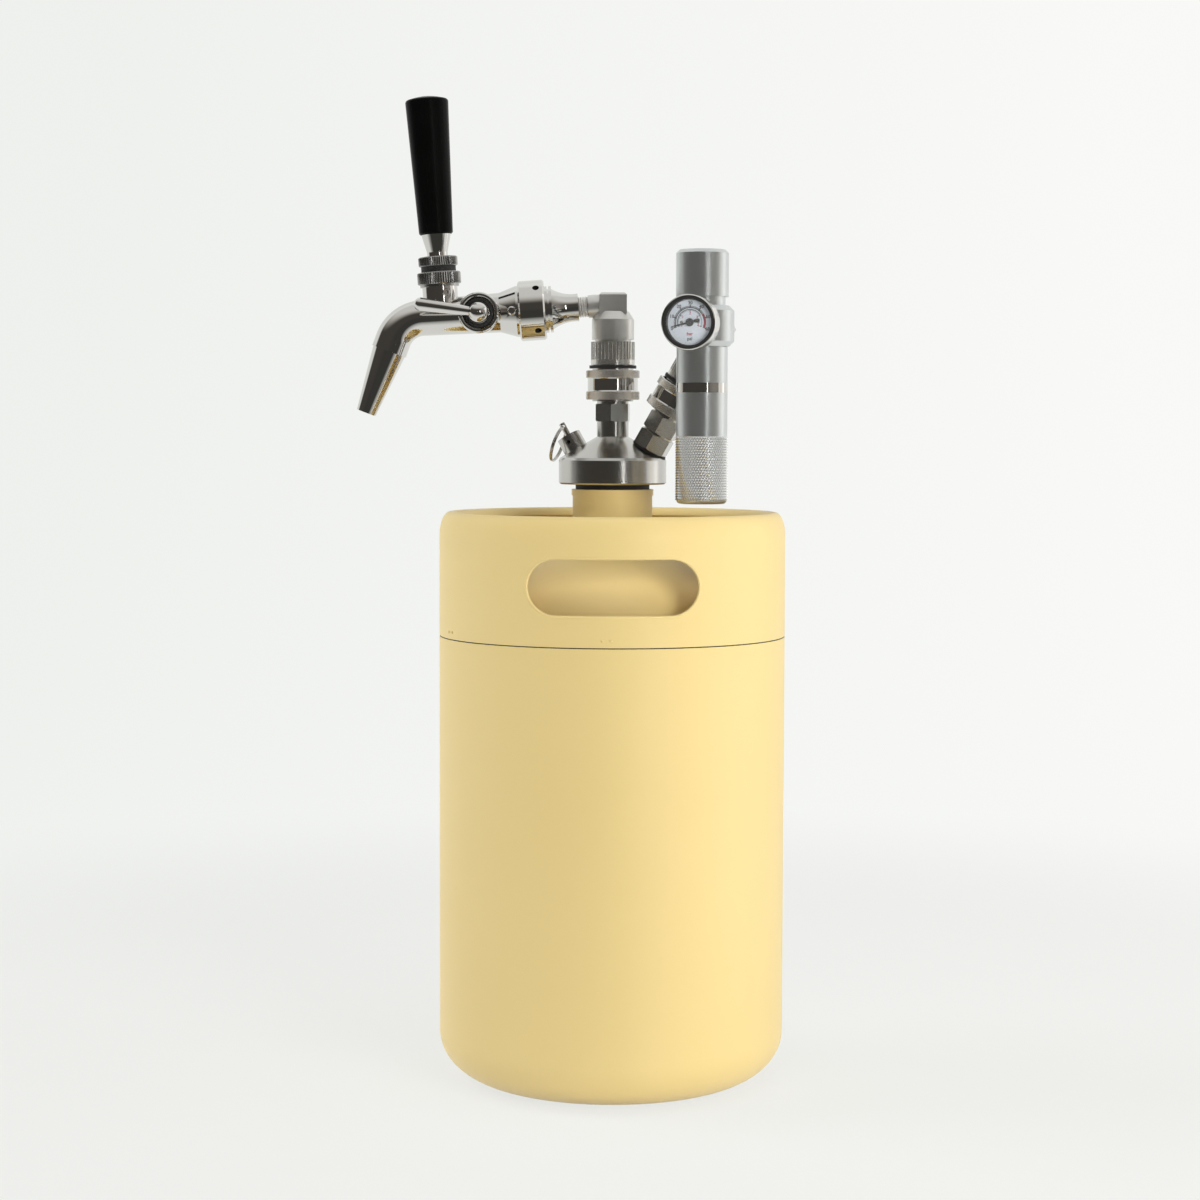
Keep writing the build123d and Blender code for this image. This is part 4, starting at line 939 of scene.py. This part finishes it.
print("spanner holes:", HOLE_COUNT)

# %% Thread
THREAD_FOOT = 4.72
THREAD_DEPTH = 0.42
THREAD_PITCH = 1.15
THREAD_COLUMNS = 40
THREAD_ROWS_PER_TURN = 6
THREAD_START = 12.3
THREAD_SHARP = math.radians(40)
THREAD_GAP = 0.1
thread_end = span("tap_shank", tap_place)[0] - THREAD_GAP


def thread_piece():
    length = thread_end - THREAD_START
    count = max(6, round(length / THREAD_PITCH * THREAD_ROWS_PER_TURN))
    vertices, faces = [], []
    for row in range(count + 1):
        along = THREAD_START + length * row / count
        for column in range(THREAD_COLUMNS):
            turn = column / THREAD_COLUMNS
            share = (along / THREAD_PITCH - turn) % 1.0
            ridge = 1 - abs(2 * share - 1) if 0 < row < count else 0
            radius = THREAD_FOOT + THREAD_DEPTH * ridge
            angle = 2 * math.pi * turn
            local = Vector((radius * math.cos(angle), radius * math.sin(angle), along)) * MM
            vertices.append(tap_place @ local)
    for row in range(count):
        for column in range(THREAD_COLUMNS):
            after = (column + 1) % THREAD_COLUMNS
            low, high = row * THREAD_COLUMNS, (row + 1) * THREAD_COLUMNS
            faces.append([low + column, low + after, high + after, high + column])
    faces.append(list(reversed(range(THREAD_COLUMNS))))
    faces.append([count * THREAD_COLUMNS + column for column in range(THREAD_COLUMNS)])
    return mesh_piece("nipple_thread", vertices, faces, THREAD_SHARP)


fit_out(thread_piece(), "tap", "cast_steel")
print("thread made")

# %% [markdown]
# ## Weld pips above the seam
#
# The collar is tacked to the shell from inside, and each pair of tacks shows through the coat as two
# tiny pips just above the seam. Small domes, with their feet sunk in the wall, give the same glint.

# %% Weld pips
PIP_FIRST = -2.0
PIP_STEP = -64.0
PIP_PAIRS = 5
PIP_APART = 4.0
PIP_ABOVE_SEAM = 3.6
PIP_RADIUS = 0.75
PIP_PROUD = 0.55
PIP_SUNK = 0.3
shell_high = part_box("outer_shell")[1]
shell_radius = shell_high.x / MM
seam = shell_high.z / MM
pip_rows = [plain(PIP_RADIUS, -PIP_SUNK), plain(PIP_RADIUS, 0), plain(PIP_RADIUS * 0.8, PIP_PROUD * 0.6)]
pip_rows += [plain(PIP_RADIUS * 0.4, PIP_PROUD * 0.95), plain(AXIS, PIP_PROUD)]
pip_count = 0
for pair in range(PIP_PAIRS):
    for side in (-0.5, 0.5):
        turn = math.radians(PIP_FIRST + PIP_STEP * pair) + side * PIP_APART / shell_radius
        outward = Vector((math.sin(turn), -math.cos(turn), 0))
        centre = (outward * shell_radius + Vector((0, 0, seam + PIP_ABOVE_SEAM))) * MM
        pip_place = place_at(centre, outward, (0, 0, 1))
        fit_out(turned_piece(f"weld_pip_{pip_count}", pip_place, pip_rows, 12, False), "keg", "powder_coat")
        pip_count += 1
print("weld pips:", pip_count)

# %% [markdown]
# ## Seam and slot edges
#
# The shell and the collar meet in a fine gap, which reads as a dark line because no light comes out of
# it. A dark ring at the bottom of the groove does the same. The edge of each hand slot is rolled, so
# that it doesn't cut the hand. A bevelled curve that follows the slot round the wall gives that bead.

# %% Seam gap and slot beads
GAP_DEPTH = 0.17
GAP_BOTTOM = 0.42
GAP_HALF = 0.28
gap_section = [(GAP_BOTTOM, -GAP_HALF), (GAP_DEPTH, -GAP_HALF)]
gap_section += [(GAP_DEPTH, GAP_HALF), (GAP_BOTTOM, GAP_HALF)]
gap_rows = [plain(shell_radius - depth, seam + height) for depth, height in gap_section]
fit_out(turned_piece("seam_gap", Matrix.Identity(4), gap_rows, 240, True), "keg", "black_rubber")

SLOT_LENGTH = 80.0
SLOT_HEIGHT = 26.5
SLOT_ABOVE_SEAM = 28.0
BEAD_ROUND = 0.75
BEAD_OUT = 0.4
BEAD_SINK = 0.55
BEAD_STEPS = 24


def slot_outline():
    """Points round the slot as (across, up) in millimetres from its centre, just outside its edge."""
    end = SLOT_HEIGHT / 2 + BEAD_OUT
    half = (SLOT_LENGTH - SLOT_HEIGHT) / 2
    points = []
    for side in (1, -1):
        for step in range(BEAD_STEPS):
            angle = math.pi * (step / BEAD_STEPS - 0.5)
            points.append((side * (half + end * math.cos(angle)), side * end * math.sin(angle)))
        for step in range(BEAD_STEPS):
            points.append((side * half * (1 - 2 * step / BEAD_STEPS), side * end))
    return points


def slot_bead(name, facing):
    curve = bpy.data.curves.new(name, "CURVE")
    curve.dimensions = "3D"
    curve.bevel_depth = BEAD_ROUND * MM
    curve.bevel_resolution = 3
    outline = slot_outline()
    spline = curve.splines.new("POLY")
    spline.points.add(len(outline) - 1)
    spline.use_cyclic_u = True
    wall = shell_radius - BEAD_SINK
    for point, (across, up) in zip(spline.points, outline):
        depth = facing * math.sqrt(wall * wall - across * across)
        point.co = (across * MM, depth * MM, (seam + SLOT_ABOVE_SEAM + up) * MM, 1)
    bead = bpy.data.objects.new(name, curve)
    bpy.context.scene.collection.objects.link(bead)
    return fit_out(bead, "keg", "powder_coat")


for name, facing in (("slot_bead_front", -1), ("slot_bead_back", 1)):
    print(slot_bead(name, facing).name, "made")

# %% [markdown]
# ## Floor and light
#
# The photograph has a seamless pale sweep, soft light from the right and a dark room behind the
# camera, which is why the polished tap shows dark bands between bright ones. The sweep is a curved
# sheet. Near the keg it takes the keg's shadow, and farther off it only glows, so that it stays even.
# The world is bright behind and overhead. In front and at the sides it is dark and warm, with a little
# more light on the right. Soft lamps model the keg. Most of them don't show in the metal, which keeps
# its reflections simple.

# %% Floor sweep
SWEEP_WIDTH = 16.0
SWEEP_FRONT = -8.0
SWEEP_BACK = 1.1
SWEEP_CURVE = 0.9
SWEEP_HEIGHT = 3.2
SWEEP_STEPS = 16
SHADOW_NEAR = 0.45
SHADOW_FAR = 0.95
NEAR_GLOW = 0.8


def sweep_profile():
    points = [(SWEEP_FRONT, 0.0), (SWEEP_BACK, 0.0)]
    for step in range(1, SWEEP_STEPS + 1):
        angle = math.pi / 2 * step / SWEEP_STEPS
        points.append((SWEEP_BACK + SWEEP_CURVE * math.sin(angle), SWEEP_CURVE * (1 - math.cos(angle))))
    points.append((SWEEP_BACK + SWEEP_CURVE, SWEEP_HEIGHT))
    return points


def floor_paper():
    finish = Finish("floor_paper", Specular_IOR_Level=0.1, Roughness=0.9)
    fibre = finish.noise(40.0, 4.0)
    finish.set(Base_Color=finish.mix(fibre, (0.86, 0.865, 0.845, 1), (0.84, 0.845, 0.825, 1)))
    path = finish.tree.nodes.new("ShaderNodeLightPath")
    ray_names = ("Is Camera Ray", "Is Glossy Ray", "Is Transmission Ray")
    camera_ray, glossy_ray, through_ray = (Value(finish.tree, path.outputs[name]) for name in ray_names)
    seen = camera_ray + through_ray
    x, y, _ = axes_of(finish.tree, finish.point())
    # The floor's glow is painted lighter towards the right: a painted fall of the light from the right.
    painted_light_to_right = x * 0.8 + 0.5
    # In reflections the floor glows nearly black towards the camera: painted shade of the dark room behind the
    # camera.
    towards_camera = (0 - y) * 2.2 - 0.55
    far_off = smooth_rise(finish.tree, (x * x + y * y) ** 0.5, SHADOW_NEAR, SHADOW_FAR)
    painted_room_shade = finish.add("ShaderNodeClamp", {}, {"Value": towards_camera}) * glossy_ray
    tint = finish.mix(painted_light_to_right, (0.86, 0.875, 0.85, 1), (0.945, 0.95, 0.93, 1))
    glow = finish.tree.nodes.new("ShaderNodeEmission")
    plug(finish.tree, glow.inputs["Color"], finish.mix(painted_room_shade, tint, (0.05, 0.05, 0.045, 1)))
    mixer = finish.tree.nodes.new("ShaderNodeMixShader")
    plug(finish.tree, mixer.inputs[0], seen * (NEAR_GLOW + (1 - NEAR_GLOW) * far_off) + glossy_ray)
    finish.tree.links.new(finish.shader.outputs[0], mixer.inputs[1])
    finish.tree.links.new(glow.outputs[0], mixer.inputs[2])
    finish.tree.links.new(mixer.outputs[0], finish.output.inputs["Surface"])
    return finish.material


profile = sweep_profile()
sweep_vertices = [(side * SWEEP_WIDTH / 2, y, z) for y, z in profile for side in (-1, 1)]
sweep_faces = [[2 * row, 2 * row + 1, 2 * row + 3, 2 * row + 2] for row in range(len(profile) - 1)]
sweep = mesh_piece("floor_sweep", sweep_vertices, sweep_faces)
sweep.data.polygons.foreach_set("use_smooth", [True] * len(sweep_faces))
sweep.data.materials.append(floor_paper())
print("floor sweep rows:", len(profile))


# %% Lamps and world
def soft_lamp(name, location, target, size, power, colour=(1, 1, 1), mirrored=True):
    """A large area lamp; one that isn't mirrored lights surfaces without showing in the metal."""
    data = bpy.data.lights.new(name, "AREA")
    data.shape = "RECTANGLE"
    data.size, data.size_y = size
    data.energy = power
    data.color = colour
    lamp = bpy.data.objects.new(name, data)
    lamp.location = location
    aim = Vector(target) - Vector(location)
    lamp.rotation_euler = aim.to_track_quat("-Z", "Y").to_euler()
    lamp.visible_glossy = mirrored
    bpy.context.scene.collection.objects.link(lamp)
    return lamp


KEG_MIDDLE = (0, 0, 0.25)
WARM = (1.0, 0.985, 0.955)
soft_lamp("key_right", (1.8, -0.35, 1.5), KEG_MIDDLE, (1.1, 1.2), 3.5, WARM, mirrored=False)
soft_lamp("key_front", (1.25, -1.95, 0.6), KEG_MIDDLE, (1.0, 1.0), 33, WARM, mirrored=False)
soft_lamp("window_right", (2.0, 0.15, 0.8), KEG_MIDDLE, (1.4, 1.6), 4.5, WARM)
soft_lamp("fill_left", (-1.5, 0.15, 1.4), KEG_MIDDLE, (1.0, 1.4), 14, mirrored=False)
soft_lamp("bounce_left", (-1.1, 0.1, 0.12), (0, 0, 0.12), (0.8, 0.24), 4.2, mirrored=False)
soft_lamp("bounce_right", (1.1, -0.2, 0.12), (0, 0, 0.12), (0.8, 0.24), 2.2, WARM, mirrored=False)
soft_lamp("top_front", (0.2, -0.6, 1.9), (0.2, -0.6, 0), (0.8, 0.8), 8, WARM, mirrored=False)
soft_lamp("strip_front", (0.8, -1.9, 0.6), (0, 0, 0.35), (0.06, 1.0), 1.5)


LIT_ROOM = 0.95
SEEN_ROOM = 0.9
DIFFUSE_CUT = 0.8
DARK_BELOW, DARK_LEVEL, DARK_RIGHT = 0.035, 0.03, 0.22
FRONT_FADE = (-0.32, -0.04)
OVERHEAD_FADE = (0.4, 0.85)
OVERHEAD_SHARE = 0.8
LEVEL_FADE = (-0.4, 0.15)
RIGHT_FADE = (0.15, 0.85)
PALE_ROOM = (0.98, 1, 0.99, 1)
WARM_ROOM = (1.0, 0.93, 0.84, 1)


def studio_world():
    world = bpy.data.worlds.new("studio")
    world.use_nodes = True
    tree = world.node_tree
    tree.nodes.clear()
    output = tree.nodes.new("ShaderNodeOutputWorld")
    background = tree.nodes.new("ShaderNodeBackground")
    coordinates = tree.nodes.new("ShaderNodeTexCoord")
    x, y, z = axes_of(tree, Value(tree, coordinates.outputs["Generated"]))
    overhead = smooth_rise(tree, z, *OVERHEAD_FADE)
    in_front = smooth_rise(tree, 0 - y, *FRONT_FADE) * (1 - OVERHEAD_SHARE * overhead)
    dark_room = DARK_BELOW + DARK_LEVEL * smooth_rise(tree, z, *LEVEL_FADE)
    dark_room += DARK_RIGHT * smooth_rise(tree, x, *RIGHT_FADE)
    room = LIT_ROOM * (1 - in_front) + dark_room * in_front
    path = tree.nodes.new("ShaderNodeLightPath")
    camera_ray = Value(tree, path.outputs["Is Camera Ray"])
    diffuse_ray = Value(tree, path.outputs["Is Diffuse Ray"])
    unseen = room * (1 - DIFFUSE_CUT * diffuse_ray)
    plug(tree, background.inputs["Strength"], unseen * (1 - camera_ray) + SEEN_ROOM * camera_ray)
    tint = mix_colours(tree, in_front * (1 - camera_ray), PALE_ROOM, WARM_ROOM)
    plug(tree, background.inputs["Color"], tint)
    tree.links.new(background.outputs[0], output.inputs["Surface"])
    return world


bpy.context.scene.world = studio_world()
print("lamps:", len(bpy.data.lights))
